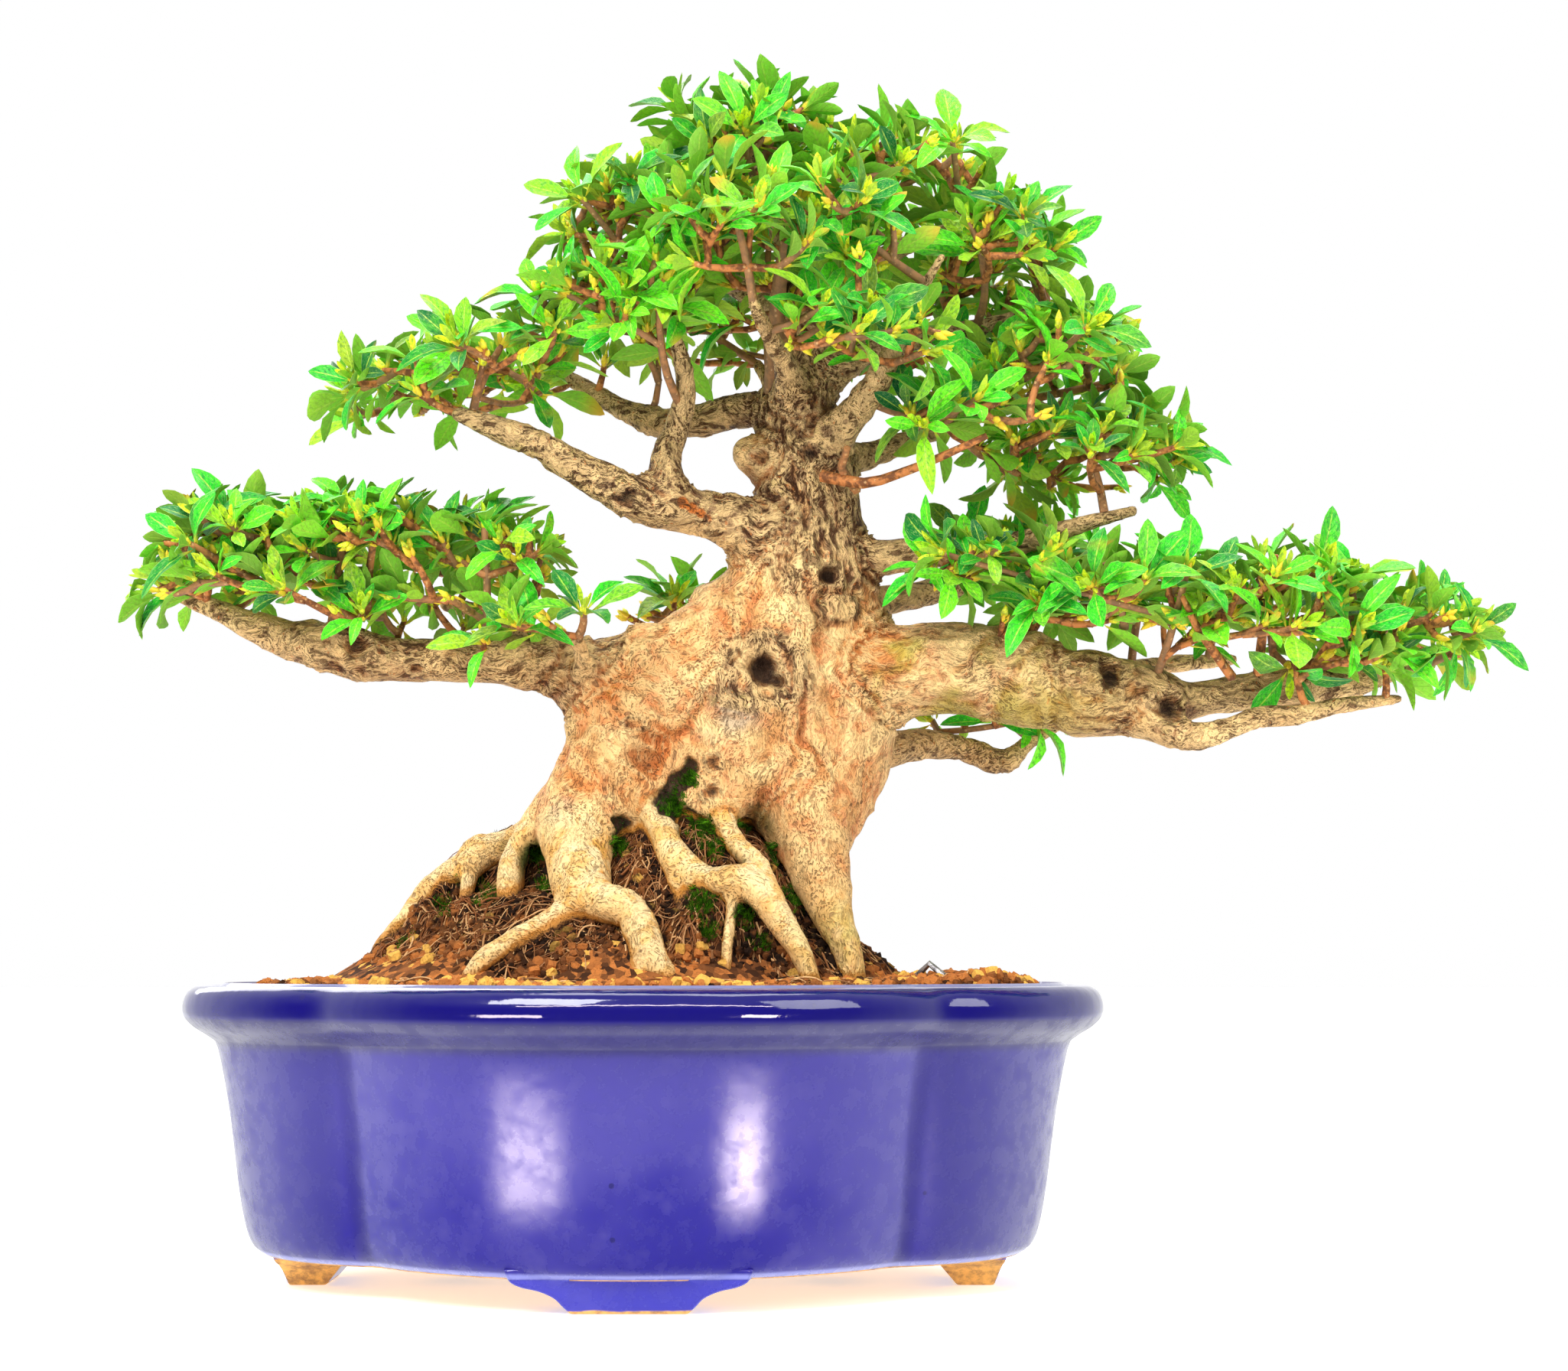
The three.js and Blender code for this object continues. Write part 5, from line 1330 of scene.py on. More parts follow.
def makeCopyTree():  # one shape of a collection on each point, turned and scaled as the point says
    tree, start, end = newTree("copiesOnPoints", {
        "Geometry": "Geometry", "Shapes": "Collection", "Material": "Material"})
    points = put(tree, "GeometryNodeMeshToPoints", {0: start.outputs["Geometry"]}).outputs[0]
    copies = copyOnto(tree, points, start.outputs["Shapes"], **{
        "Instance Index": named(tree, "kind", "INT"), "Rotation": named(tree, "turn", "FLOAT_VECTOR"),
        "Scale": named(tree, "size", "FLOAT_VECTOR")})
    return endTree(tree, copies, start.outputs["Material"], end)


def makeTubes(name, lines, sides, material, tints=None):  # lines of x, y, z, radius
    points, edges, thick, tint = [], [], [], []
    for index, line in enumerate(lines):
        first = len(points)
        for p in line:
            points.append(p[:3])
            thick.append(p[3] * mm)
            tint.append(tints[index] if tints is not None else 0.5)
        edges += [(first + i, first + i + 1) for i in range(len(line) - 1)]
    source = build(name + "Lines", points, [], edges, {"thick": np.array(thick), "tint": np.array(tint)})
    piece = grow(name, source, tubeTree, {"Sides": sides, "Material": material})
    piece.data.shade_smooth()
    return piece


soilLook = {
    "red": (0.56, 0.19, 0.045, 1),
    "brown": (0.24, 0.082, 0.024, 1),
    "dark": (0.050, 0.019, 0.008, 1),
    "black": (0.018, 0.008, 0.004, 1),
    "yellow": (0.90, 0.50, 0.10, 1),
    "root": (0.84, 0.50, 0.22, 1),
    "rootDark": (0.22, 0.072, 0.020, 1),
    "moss": (0.016, 0.060, 0.002, 1),
    "mossTip": (0.13, 0.40, 0.006, 1),
}


def makeSoilMaterial(name, tinted):
    material, place = newMaterial(name, 0.88, 0.12)
    look = soilLook
    if tinted:
        tint = read(material, "tint")
    else:
        cells = shade("ShaderNodeTexVoronoi", {"Vector": place, "Scale": 480.0}, "Color")
        tint = shade("ShaderNodeSeparateColor", {0: cells})
    fine = noise(place, 1500.0, 4.0, 0.7)
    # how strong the painted shade is, patch by patch
    shadePatches = 0.35 + fade(noise(place, 230.0, 3.0, 0.6), 0.60, 0.42) * 0.62
    beside = read(material, "shade") * (0.45 + shadePatches * 0.6)
    colour = layered(
        mixColour(fade(tint, 0.10, 0.55), look["dark"], look["brown"]),
        (fade(tint, 0.45, 0.85), look["red"]),
        (fade(tint, 0.935, 0.95), look["yellow"]),
        (fade(fine, 0.45, 0.7) * 0.45, look["dark"]),
        (fade(noise(place, 60.0, 3.0), 0.55, 0.7) * 0.35, look["red"]),
        # painted shade high on the mass under the trunk, and beside the roots
        (fade(part(place, 2), 0.090, 0.106) * shadePatches, look["black"]),
        (fade(beside, 0.15, 0.95), look["black"]),
    )
    return finish(material, {"Base Color": colour, "Normal": bump(fine, 0.8, 0.0004)})


def makeFineRootMaterial():
    material, place = newMaterial("fineRoots", 0.7, 0.15)
    blotches = noise(place, 350.0, 3.0, 0.6)
    colour = layered(
        mixColour(read(material, "tint"), soilLook["rootDark"], soilLook["root"]),
        (fade(blotches, 0.5, 0.7) * 0.6, soilLook["rootDark"]),
    )
    return finish(material, {"Base Color": colour, "Normal": bump(blotches, 0.4, 0.0002)})


def traceFineRoots(rng):  # short curly walks that lie on the bed and dip into it
    lines, tints = [], []
    while len(lines) < grainShape["rootCount"]:
        angle = rng.random() * 2 * math.pi
        far = bedReach(np.array([angle]))[0] * math.sqrt(rng.random()) * 0.95
        x, y = far * math.cos(angle), far * math.sin(angle)
        onMass = massHeight(np.array([x]), np.array([y]))[0] > soilShape["shelf"] + 5
        if not onMass and rng.random() < 0.78:
            continue
        length = grainShape["rootReach"][0] + rng.random() * np.diff(grainShape["rootReach"])[0]
        heading = rng.random() * 2 * math.pi
        curl = rng.normal(0, 0.12)
        thick = 0.14 + 0.24 * rng.random() ** 2.5 + (0.45 * rng.random() if rng.random() < 0.04 else 0)
        lift = 0.3 + 1.5 * rng.random() ** 1.5
        steps = int(length / 1.5)
        walk = np.zeros((steps, 2))
        for i in range(steps):
            walk[i] = x, y
            curl = 0.85 * curl + rng.normal(0, 0.16)
            heading += curl
            x += 1.5 * math.cos(heading)
            y += 1.5 * math.sin(heading)
        reach = bedReach(np.arctan2(walk[:, 1], walk[:, 0])) * 0.97
        if np.any(np.hypot(walk[:, 0], walk[:, 1]) > reach):
            continue
        t = np.linspace(0, 1, steps)
        wave = np.sin(t * math.pi) ** 0.6 * lift + 0.35 * np.sin(t * steps * 0.7 + rng.random() * 6)
        z = bedHeight(walk[:, 0], walk[:, 1]) + wave - 0.1
        radius = thick * (0.55 + 0.45 * np.sin(t * math.pi))
        lines.append(np.column_stack([walk, z, radius]))
        # on the mass most roots are dark: painted shade between the roots, over their own random tone
        tints.append(rng.random() ** (3.0 if onMass else 1.4))
    return lines, tints


# Moss: tufts of short spikes at places of the photo, and here and there on the mass all round

mossSpots = [  # pixel of the photo, spread in pixels, tufts
    ((905, 1022), 14, 60), ((882, 1053), 14, 60), ((919, 1084), 15, 110), ((931, 1111), 12, 60),
    ((965, 1082), 12, 40), ((994, 1145), 16, 90), ((1008, 1116), 12, 60), ((1042, 1171), 18, 150),
    ((1100, 1222), 15, 90), ((916, 1181), 18, 110), ((972, 1198), 11, 60), ((994, 1232), 12, 50),
    ((926, 1217), 10, 40), ((810, 1106), 10, 70), ((705, 1120), 10, 80), ((713, 1160), 9, 50),
    ((616, 1150), 14, 60), ((640, 1169), 10, 40), ((577, 1184), 12, 30),
]
mossShape = {"seed": 5, "around": 700, "length": (1.3, 2.9), "spikes": 8}


def makeMossShape(name, rng):
    points, faces = [], []
    for first in range(0, 4 * mossShape["spikes"], 4):
        foot = rng.normal(0, 0.22, 2)
        tip = foot * 1.6 + rng.normal(0, 0.22, 2)
        turn = rng.random() * fullTurn
        for a in (turn, turn + 2.094, turn + 4.188):
            points.append((foot[0] + 0.085 * math.cos(a), foot[1] + 0.085 * math.sin(a), -0.1))
        points.append((tip[0], tip[1], 0.6 + 0.4 * rng.random()))
        faces += [(first + 2, first + 1, first)]
        faces += [(first + i, first + (i + 1) % 3, first + 3) for i in range(3)]
    return looseShape(name, points, faces)


def makeMossMaterial():
    material, place = newMaterial("softMoss", 0.8, 0.1)
    mixing = read(material, "tint") * fade(noise(place, 700.0), 0.3, 0.7)
    return finish(material, {"Base Color": mixColour(mixing, soilLook["moss"], soilLook["mossTip"])})


# Larger pale grains, most of them along the front rim
paleStones = {"count": 150, "size": (2.0, 4.6), "front": 0.55}


def copyAt(name, places, turns, sizes, kinds, tints, shapes, material):  # sizes in millimetres
    source = build(name + "Points", places, [], (), {
        "turn": np.array(turns), "size": np.array(sizes) * mm, "kind": np.array(kinds, dtype=np.int32),
        "tint": np.array(tints)})
    return grow(name, source, copyTree, {"Shapes": shapes, "Material": material})


def layStones(rng, shapes, material):
    places = []
    while len(places) < paleStones["count"]:
        angle = rng.random() * 2 * math.pi
        share = rng.random()
        if rng.random() < paleStones["front"]:
            angle = rng.normal(-1.75, 0.35)
            share = 0.90 + 0.10 * rng.random()
        far = bedReach(np.array([angle]))[0] * (0.62 + 0.34 * share)
        x, y = np.array([far * math.cos(angle)]), np.array([far * math.sin(angle)])
        places.append((x[0], y[0], bedHeight(x, y)[0] + 0.4))
    low, high = paleStones["size"]
    count = len(places)
    size = low + (high - low) * rng.random(count) ** 2
    return copyAt("pale_grains", places, rng.random((count, 3)) * fullTurn,
                  np.stack([size, size * 0.8, size * 0.7], 1), rng.integers(0, 7, count),
                  np.where(rng.random(count) < 0.7, 0.97, 0.80), shapes, material)


def growMoss(rng):
    count = len(woodPoints)
    skin = BVHTree.FromPolygons(np.vstack([woodPoints, bedPoints]).tolist(),
                                woodFaces.tolist() + [tuple(np.array(f) + count) for f in bedFaces])
    places, ways, tints = [], [], []

    def plant(hit, facing, tint):
        places.append(np.array(hit))
        ways.append(unit(np.array(facing) + (0, -0.15, 0.45) + rng.normal(0, 0.2, 3)))
        tints.append(tint)

    for pixel, spread, tufts in mossSpots:
        for i in range(tufts):
            px, py = np.array(pixel) + rng.normal(0, 0.55, 2) * spread
            hit, facing, index = skin.ray_cast(*pixelRay(px, py))[:3]
            if hit is None:
                continue
            onBed = index >= len(woodFaces)
            corner = None if onBed else woodFaces[index][0]
            if onBed or woodMasks["gap"][corner] > 0.25 or woodMasks["crevice"][corner] > 0.3:
                plant(hit, facing, rng.random())
    seen = len(places)
    while len(places) < seen + mossShape["around"]:
        x, y = rng.uniform(-70, 70), rng.uniform(-40, 66)
        clump = flatNoise(np.array([x]), np.array([y]), 7.0, 4.4)[0]
        hit, facing, index = skin.ray_cast(Vector((x, y, 150)), Vector((0, 0, -1)))[:3]
        if clump > 0.25 and hit is not None and index >= len(woodFaces) and hit[2] > 93 and y > -20:
            plant(hit, facing, rng.random())
    turns = [Vector(way).to_track_quat("Z", "Y").to_euler() for way in ways]
    low, high = mossShape["length"]
    size = low + (high - low) * rng.random(len(places)) ** 1.5
    kinds = rng.integers(0, 5, len(places))
    shapes = shelfOf("mossShapes", [makeMossShape(f"mossShape{i}", rng) for i in range(5)])
    return copyAt("moss", places, turns, np.stack([size * 0.9, size * 0.9, size], 1), kinds, tints,
                  shapes, makeMossMaterial())


rng = np.random.default_rng(grainShape["seed"])
scatterTree = makeScatterTree()
tubeTree = makeTubeTree()
copyTree = makeCopyTree()
bedPoints, bedFaces, bedCoarse, bedShade, bedTurns = makeBed()
grainShapes, grainMaterial = makeGrainShapes(rng), makeSoilMaterial("bakedClayGrains", True)
for side, onRight in (("left", False), ("right", True)):
    half = [face for face in bedFaces if (bedPoints[face[0]][0] > 0) == onRight]
    source = build("soilSource", bedPoints, half, (), {"coarse": bedCoarse, "shade": bedShade})
    grains = grow(f"soil_grains_{side}", source, scatterTree, {
        "Shapes": grainShapes, "Spacing": grainShape["spacing"] * mm,
        "Size Low": 2 * grainShape["sizeLow"] * mm, "Size High": 2 * grainShape["sizeHigh"] * mm,
        "Material": grainMaterial, "Seed": grainShape["seed"]})
    wear(grains, "soil_grain")
wear(layStones(rng, grainShapes, grainMaterial), "soil_grain")
below = makeSoilMaterial("soilBelow", False)
bed = build("soil_bed", *closeBed(bedPoints, bedFaces, bedTurns), (), {
    "shade": np.concatenate([bedShade, np.zeros(bedTurns + 1)])}, below)
bed.data.shade_smooth()
wear(bed, "soil_grain")
fineLines, fineTints = traceFineRoots(rng)
wear(makeTubes("fine_roots", fineLines, 3, makeFineRootMaterial(), fineTints), "soil_grain")
wear(growMoss(np.random.default_rng(mossShape["seed"])), "leaf")
soilNode = bpy.data.objects["soil"]
soilNode.data.materials.clear()
soilNode.data.materials.append(below)


# The foliage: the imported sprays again, leaf by leaf, and many more shoots between them

clouds = [
    ((26, 2, 332), (18, 30, 12), ["neck", "leftHigh"], 5),
    ((75, 0, 322), (28, 42, 14), ["rightHigh", "neck"], 7),
    ((-7, 2, 308), (22, 42, 17), ["leftHigh", "leftUpper"], 7),
    ((-50, -4, 265), (22, 38, 9), ["leftArm", "leftUpper"], 6),
    ((-12, -16, 276), (26, 40, 17), ["leftRiser", "leftUpper", "leftArm"], 6),
    ((36, -36, 292), (42, 32, 26), ["frontHigh", "leftRiser", "rightFront"], 9),
    ((64, -50, 266), (26, 16, 12), ["frontHigh", "rightFront"], 4),
    ((104, 0, 299), (18, 40, 18), ["rightHigh", "rightOuter"], 6),
    ((122, 2, 267), (22, 42, 16), ["rightOuter", "rightUpper"], 6),
    ((131, 2, 240), (30, 40, 12), ["rightUpper", "rightMiddle"], 6),
    ((96, -22, 246), (24, 20, 13), ["rightFront", "rightMiddle"], 3),
    ((34, 52, 296), (46, 20, 28), ["rearHigh", "leftHigh"], 8),
    ((86, 42, 284), (34, 20, 22), ["rightOuter", "rightUpper"], 5),
    ((-122, -5, 211), (24, 32, 12), ["lowLeft"], 9),
    ((-84, -5, 213), (28, 36, 12), ["lowLeft", "lowLeftBack"], 9),
    ((-48, 2, 210), (22, 30, 12), ["lowLeftBack", "lowLeft"], 6),
    ((-18, -38, 188), (9, 6, 3), ["lowLeftFront"], 2),
    ((4, 80, 203), (16, 18, 7), ["rearLow"], 4),
    ((104, -24, 205), (24, 18, 9), ["rightMiddle", "lowRight"], 4),
    ((140, -6, 198), (28, 36, 10), ["lowRight", "lowRightBack", "rightMiddle"], 7),
    ((186, -2, 198), (28, 38, 11), ["lowRight", "lowRightBack"], 9),
    ((226, 0, 187), (21, 34, 11), ["lowRight"], 9),
    ((203, -14, 178), (20, 14, 5), ["lowRightUnder"], 3),
    ((112, 54, 218), (28, 20, 11), ["rightRear"], 4),
    ((106, 46, 166), (22, 14, 6), ["rightUnder"], 3),
]

lowClouds = [  # only for the added shoots: leaves that hang over the limbs
    ((-112, -14, 199), (32, 22, 7), ["lowLeft"], 5),
    ((-66, -14, 193), (30, 18, 7), ["lowLeft"], 5),
    ((-36, -24, 186), (16, 9, 6), ["lowLeftFront", "lowLeft"], 2),
    ((-74, -6, 257), (20, 26, 8), ["leftArm"], 3),
    ((128, -24, 192), (30, 12, 7), ["lowRight"], 4),
    ((182, -22, 187), (34, 14, 7), ["lowRight"], 5),
    ((32, 2, 342), (24, 24, 5), ["neck", "leftHigh"], 3),
]
outermostTips = [
    ((-144, -6, 204), (-0.95, 0, 0.1), ["lowLeft"]),
    ((240, 2, 184), (0.95, 0, 0.1), ["lowRight"]),
    ((9, 3, 349), (-0.2, 0, 1), ["neck", "leftHigh"]),
    ((38, 0, 346), (0.2, 0, 1), ["neck", "rightHigh"]),
]
packedSprays = {
    "seed": 20117,
    "sprays": 46,
    "shoots": 60,
    "candidates": 24,
    "shellInner": 0.62,
    "lowestFacing": -0.35,
    "sampleStep": 4,
    "stemClearance": 0.9,
    "startRoom": 4,
    "placesTried": 40,
    "budRadius": 1.45,
    "lengths": (15, 20.5),
    "widthShare": 0.41,
    "leafClearance": 1.3,
    "leaves": 5,
}
addedShoots = {
    "seed": 977,
    "shoots": 900,
    "candidates": 10,
    "shellInner": 0.60,
    "placesTried": 12,
    "bare": 330,             # the last of them carry buds and no leaves
    "stemRadius": (1.3, 0.85),
    "whorl": (4, 6),         # leaves at the end of each shoot
    "lower": (0, 2),         # leaves further down
    "young": (2, 5),         # small pale leaves in the middle
    "lengths": (10.0, 19.0),
    "lean": (0.50, 1.25),
    "youngLengths": (5.0, 9.0),
    "spiral": 2.399963,      # angle from one leaf to the next
    "boxRoom": 1.2,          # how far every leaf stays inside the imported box
}
bladeFaces = np.array([[0, 3, 6], [0, 1, 2], [0, 2, 3], [3, 4, 6], [4, 5, 6]])


def randomStream(seed):
    state = seed
    while True:
        state = (state * 1664525 + 1013904223) % 4294967296
        yield state / 4294967296


def routeSegments(route):
    route = np.asarray(route, float)
    return np.stack([route[:-1], route[1:]], 1)


def clearance(points, segments):  # from points to tapered segments, the least for each point
    if len(segments) == 0:
        return np.full(len(points), np.inf)
    a, b = segments[:, 0], segments[:, 1]
    ab = (b - a)[:, :3]
    ap = points[:, None, :3] - a[None, :, :3]
    t = np.clip(np.einsum("psk,sk->ps", ap, ab) / np.sum(ab * ab, 1), 0, 1)
    gap = rowLengths(ap - t[..., None] * ab)
    return (gap - (a[:, 3] + (b[:, 3] - a[:, 3]) * t)).min(1)


allSegments = np.vstack([routeSegments(route) for route in {**trunkLimbs, **branchLimbs}.values()])


def sampleLimb(name):
    route = np.array(branchLimbs[name], float)
    samples = []
    for a, b in zip(route[1:-1], route[2:]):
        steps = max(1, int(np.linalg.norm((b - a)[:3]) / packedSprays["sampleStep"] + 0.5))
        samples += [a + (b - a) * (k / steps) for k in range(steps)]
    return samples + [route[-1]]


def stemRoute(start, tip, radii, bow):
    length = np.linalg.norm(tip - start[:3])
    route = []
    for i in range(4):
        t = i / 3
        at = start[:3] + (tip - start[:3]) * t + np.array(bow) * math.sin(math.pi * t) * length
        route.append([*at, radii[0] + (radii[1] - radii[0]) * t])
    return np.array(route)


def drawTip(draw, inner, among):
    pick = draw() * sum(cloud[3] for cloud in among)
    chosen = among[-1]
    for cloud in among:
        pick -= cloud[3]
        if pick < 0:
            chosen = cloud
            break
    turn = 2 * math.pi * draw()
    rise = 2 * draw() - 1
    reach = inner + (1 - inner) * draw()
    flat = math.sqrt(1 - rise * rise)
    up = -rise if rise < packedSprays["lowestFacing"] else rise
    out = np.array([flat * math.cos(turn), flat * math.sin(turn), up])
    return {"at": chosen[0] + chosen[1] * out * reach, "out": out, "limbs": chosen[2]}


def placeTips(draw, tips, total, candidates, inner, among):
    while len(tips) < total:
        places = np.array([tip["at"] for tip in tips])
        trials = [drawTip(draw, inner, among) for i in range(candidates)]
        gaps = [rowLengths(places - trial["at"]).min() for trial in trials]
        tips.append(trials[int(np.argmax(gaps))])
    return tips


def stemPlaces(tip, places):  # where a stem may start, the best first
    at = np.array([place[0] for place in places])
    gap = rowLengths(at[:, :3] - tip["at"])
    cost = gap + 1.2 * np.maximum(0, at[:, 2] + 0.25 * gap - tip["at"][2])
    return [places[i] for i in np.argsort(cost, kind="stable")]


def stemIsClear(route, at, room, owner, sprays):
    t = np.arange(25) / 8
    spans = np.minimum(2, t.astype(int))
    p = route[spans] + (route[spans + 1] - route[spans]) * (t - spans)[:, None]
    need = p[:, 3] + packedSprays["stemClearance"]
    away = rowLengths((p - at)[:, :3]) > room
    if np.any(away & (clearance(p, allSegments) < need)):
        return False
    others = (other["stems"] for other in sprays if other is not owner)
    return not any(np.any(clearance(p, np.vstack([routeSegments(stem) for stem in stems])) < need)
                   for stems in others)


def growPackedSprays(draw):
    look = packedSprays
    tips = [{"at": np.array(at, float), "out": np.array(out, float), "limbs": limbs}
            for at, out, limbs in outermostTips]
    placeTips(draw, tips, look["shoots"], look["candidates"], look["shellInner"], clouds)
    sprays = []
    for index, tip in enumerate(tips):
        starts = index < look["sprays"]
        if starts:
            places = [(at, None) for name in tip["limbs"] for at in sampleLimb(name)]
        else:
            places = [(at, spray) for spray in sprays for at in spray["forks"]]
        for at, owner in stemPlaces(tip, places)[: look["placesTried"]]:
            bow = (0.16 * (draw() - 0.5), 0.16 * (draw() - 0.5), -0.08 * draw())
            route = stemRoute(at, tip["at"], (1.7, 1.2) if starts else (1.2, 1.1), bow)
            room = (at[3] if starts else 0) + look["startRoom"]
            if not stemIsClear(route, at, room, owner, sprays):
                continue
            if owner is None:
                owner = {"stems": [], "forks": [], "shoots": []}
                sprays.append(owner)
            owner["stems"].append(route)
            owner["forks"] += [route[1], route[2]]
            owner["shoots"].append({"at": tip["at"], "out": tip["out"], "route": route})
            break
    return sprays


def insideFaces(spots, faces, normal):  # whether a spot in the plane of a triangle is inside it
    inside = np.ones(spots.shape[:2], bool)
    for i in range(3):
        start, end = faces[:, i], faces[:, (i + 1) % 3]
        inside &= np.einsum("pfk,fk->pf", np.cross(end - start, spots - start), normal) >= 0
    return inside


def nearestOnFaces(points, faces):  # distances from points to triangles, the least of all
    a, b, c = faces[:, 0], faces[:, 1], faces[:, 2]
    normal = np.cross(b - a, c - a)
    least = np.inf
    for start, end in ((a, b), (b, c), (c, a)):
        way = end - start
        t = np.einsum("pfk,fk->pf", points[:, None] - start, way) / np.maximum((way * way).sum(1), 1e-12)
        near = start + np.clip(t, 0, 1)[..., None] * way
        least = min(least, rowLengths(points[:, None] - near).min())
    over = np.einsum("pfk,fk->pf", points[:, None] - a, normal) / (normal * normal).sum(1)
    foot = points[:, None] - over[..., None] * normal
    inside = insideFaces(foot, faces, normal)
    flat = np.abs(over) * rowLengths(normal)
    return min(least, flat[inside].min()) if inside.any() else least


def crosses(starts, ends, faces):  # whether an edge runs through a triangle
    first = faces[:, 0]
    normal = np.cross(faces[:, 1] - first, faces[:, 2] - first)
    way = ends - starts
    slope = np.einsum("ek,fk->ef", way, normal)
    level = np.einsum("efk,fk->ef", first[None] - starts[:, None], normal)
    t = level / np.where(np.abs(slope) < 1e-12, 1e-12, slope)
    hit = starts[:, None] + t[..., None] * way[:, None]
    return ((t > 0) & (t < 1) & insideFaces(hit, faces, normal)).any()


def bladeGap(one, two):
    least = np.inf
    for p, q in ((one, two), (two, one)):
        least = min(least, nearestOnFaces(p["probes"], q["faces"]))
        if crosses(p["points"][:-1], p["points"][1:], q["faces"]):
            return 0
    return least


def drawBlade(shoot, last, axis, radial, attempt, draw):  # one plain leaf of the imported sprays
    look = packedSprays
    lean = 0.7 + 0.6 * draw()
    facing = turned(radial, axis, 0.5 * (draw() - 0.5))
    low, high = look["lengths"]
    length = (low + (high - low) * draw()) * (1 - 0.03 * attempt)
    along = facing * math.sin(lean) + axis * math.cos(lean)
    upper = unit(axis - along * np.dot(axis, along))
    base = last + radial * look["budRadius"] * 0.8
    half, root = length * look["widthShare"] / 2, look["budRadius"] / 2
    flat = np.array([[0, -root], [0.34 * length, -0.76 * half], [0.7 * length, -half], [length, 0],
                     [0.7 * length, half], [0.34 * length, 0.76 * half], [0, root]])
    rise = np.abs(flat[:, 1]) * 0.28 - 0.15 * flat[:, 0] ** 2 / length
    points = base + np.outer(flat[:, 0], along) + np.outer(rise, upper)
    points += np.outer(flat[:, 1], np.cross(upper, along))
    return {"points": points, "probes": np.vstack([points, (points[:-1] + points[1:]) / 2]),
            "faces": points[bladeFaces], "middle": (points[0] + points[3]) / 2, "shoot": shoot,
            "leaf": (base, along, upper, length)}


def bladeIsClear(blade, stems, placed):
    room, reach = packedSprays["leafClearance"], packedSprays["lengths"][1] + 3
    away = rowLengths(blade["probes"] - blade["leaf"][0])
    for near, segments in ((3, allSegments), (5, stems)):
        if not np.all((away < near) | (clearance(blade["probes"], segments) > room)):
            return False
    return all(bladeGap(blade, other) > room for other in placed
               if other["shoot"] is not blade["shoot"]
               and np.linalg.norm(other["middle"] - blade["middle"]) <= reach)


def placePackedLeaves(sprays, draw):
    placed = []
    stems = np.vstack([routeSegments(stem) for spray in sprays for stem in spray["stems"]])
    for shoot in (shoot for spray in sprays for shoot in spray["shoots"]):
        last = shoot["route"][3][:3]
        axis = unit(unit(last - shoot["route"][2][:3]) + 0.5 * shoot["out"])
        side = turned(unit(np.cross((0.1, 0, 1), axis)), axis, 2 * math.pi * draw())
        for i in range(packedSprays["leaves"]):
            radial = turned(side, axis, 2 * math.pi * (i + 0.5) / packedSprays["leaves"])
            for attempt in range(12):
                blade = drawBlade(shoot, last, axis, radial, attempt, draw)
                if bladeIsClear(blade, stems, placed):
                    placed.append(blade)
                    shoot.setdefault("leaves", []).append(blade["leaf"])
                    break


def growAddedShoots(sprays):
    look = addedShoots
    stream = randomStream(look["seed"])
    draw = lambda: next(stream)
    tips = [shoot for spray in sprays for shoot in spray["shoots"]]
    packed = len(tips)
    placeTips(draw, tips, packed + look["shoots"], look["candidates"], look["shellInner"], clouds + lowClouds)
    forks = [(at, None) for spray in sprays for stem in spray["stems"] for at in stem[1:3]]
    shoots = []
    for tip in sorted(tips[packed:], key=lambda t: np.linalg.norm(t["at"] - (50, 0, 230))):
        limbs = [(at, None) for name in tip["limbs"] for at in sampleLimb(name)]
        best = None
        for at, owner in stemPlaces(tip, limbs + forks)[: look["placesTried"]]:
            if np.linalg.norm(at[:3] - tip["at"]) < 5:
                continue
            bow = (0.2 * (draw() - 0.5), 0.2 * (draw() - 0.5), -0.1 * draw())
            route = stemRoute(at, tip["at"], look["stemRadius"], bow)
            best = route if best is None else best
            away = rowLengths((route - at)[:, :3]) > at[3] + 3
            if not np.any(away & (clearance(route, allSegments) < 1)):
                best = route
                break
        if best is not None:
            forks += [(best[1], None), (best[2], None)]
            shoots.append({"at": tip["at"], "out": tip["out"], "route": best})
    return shoots


def region(at):
    if at[2] < 236 and at[0] < -30:
        return "left"
    if at[2] < 226 and at[0] > 92:
        return "right"
    return "crownLeft" if at[0] < 44 else "crownRight"


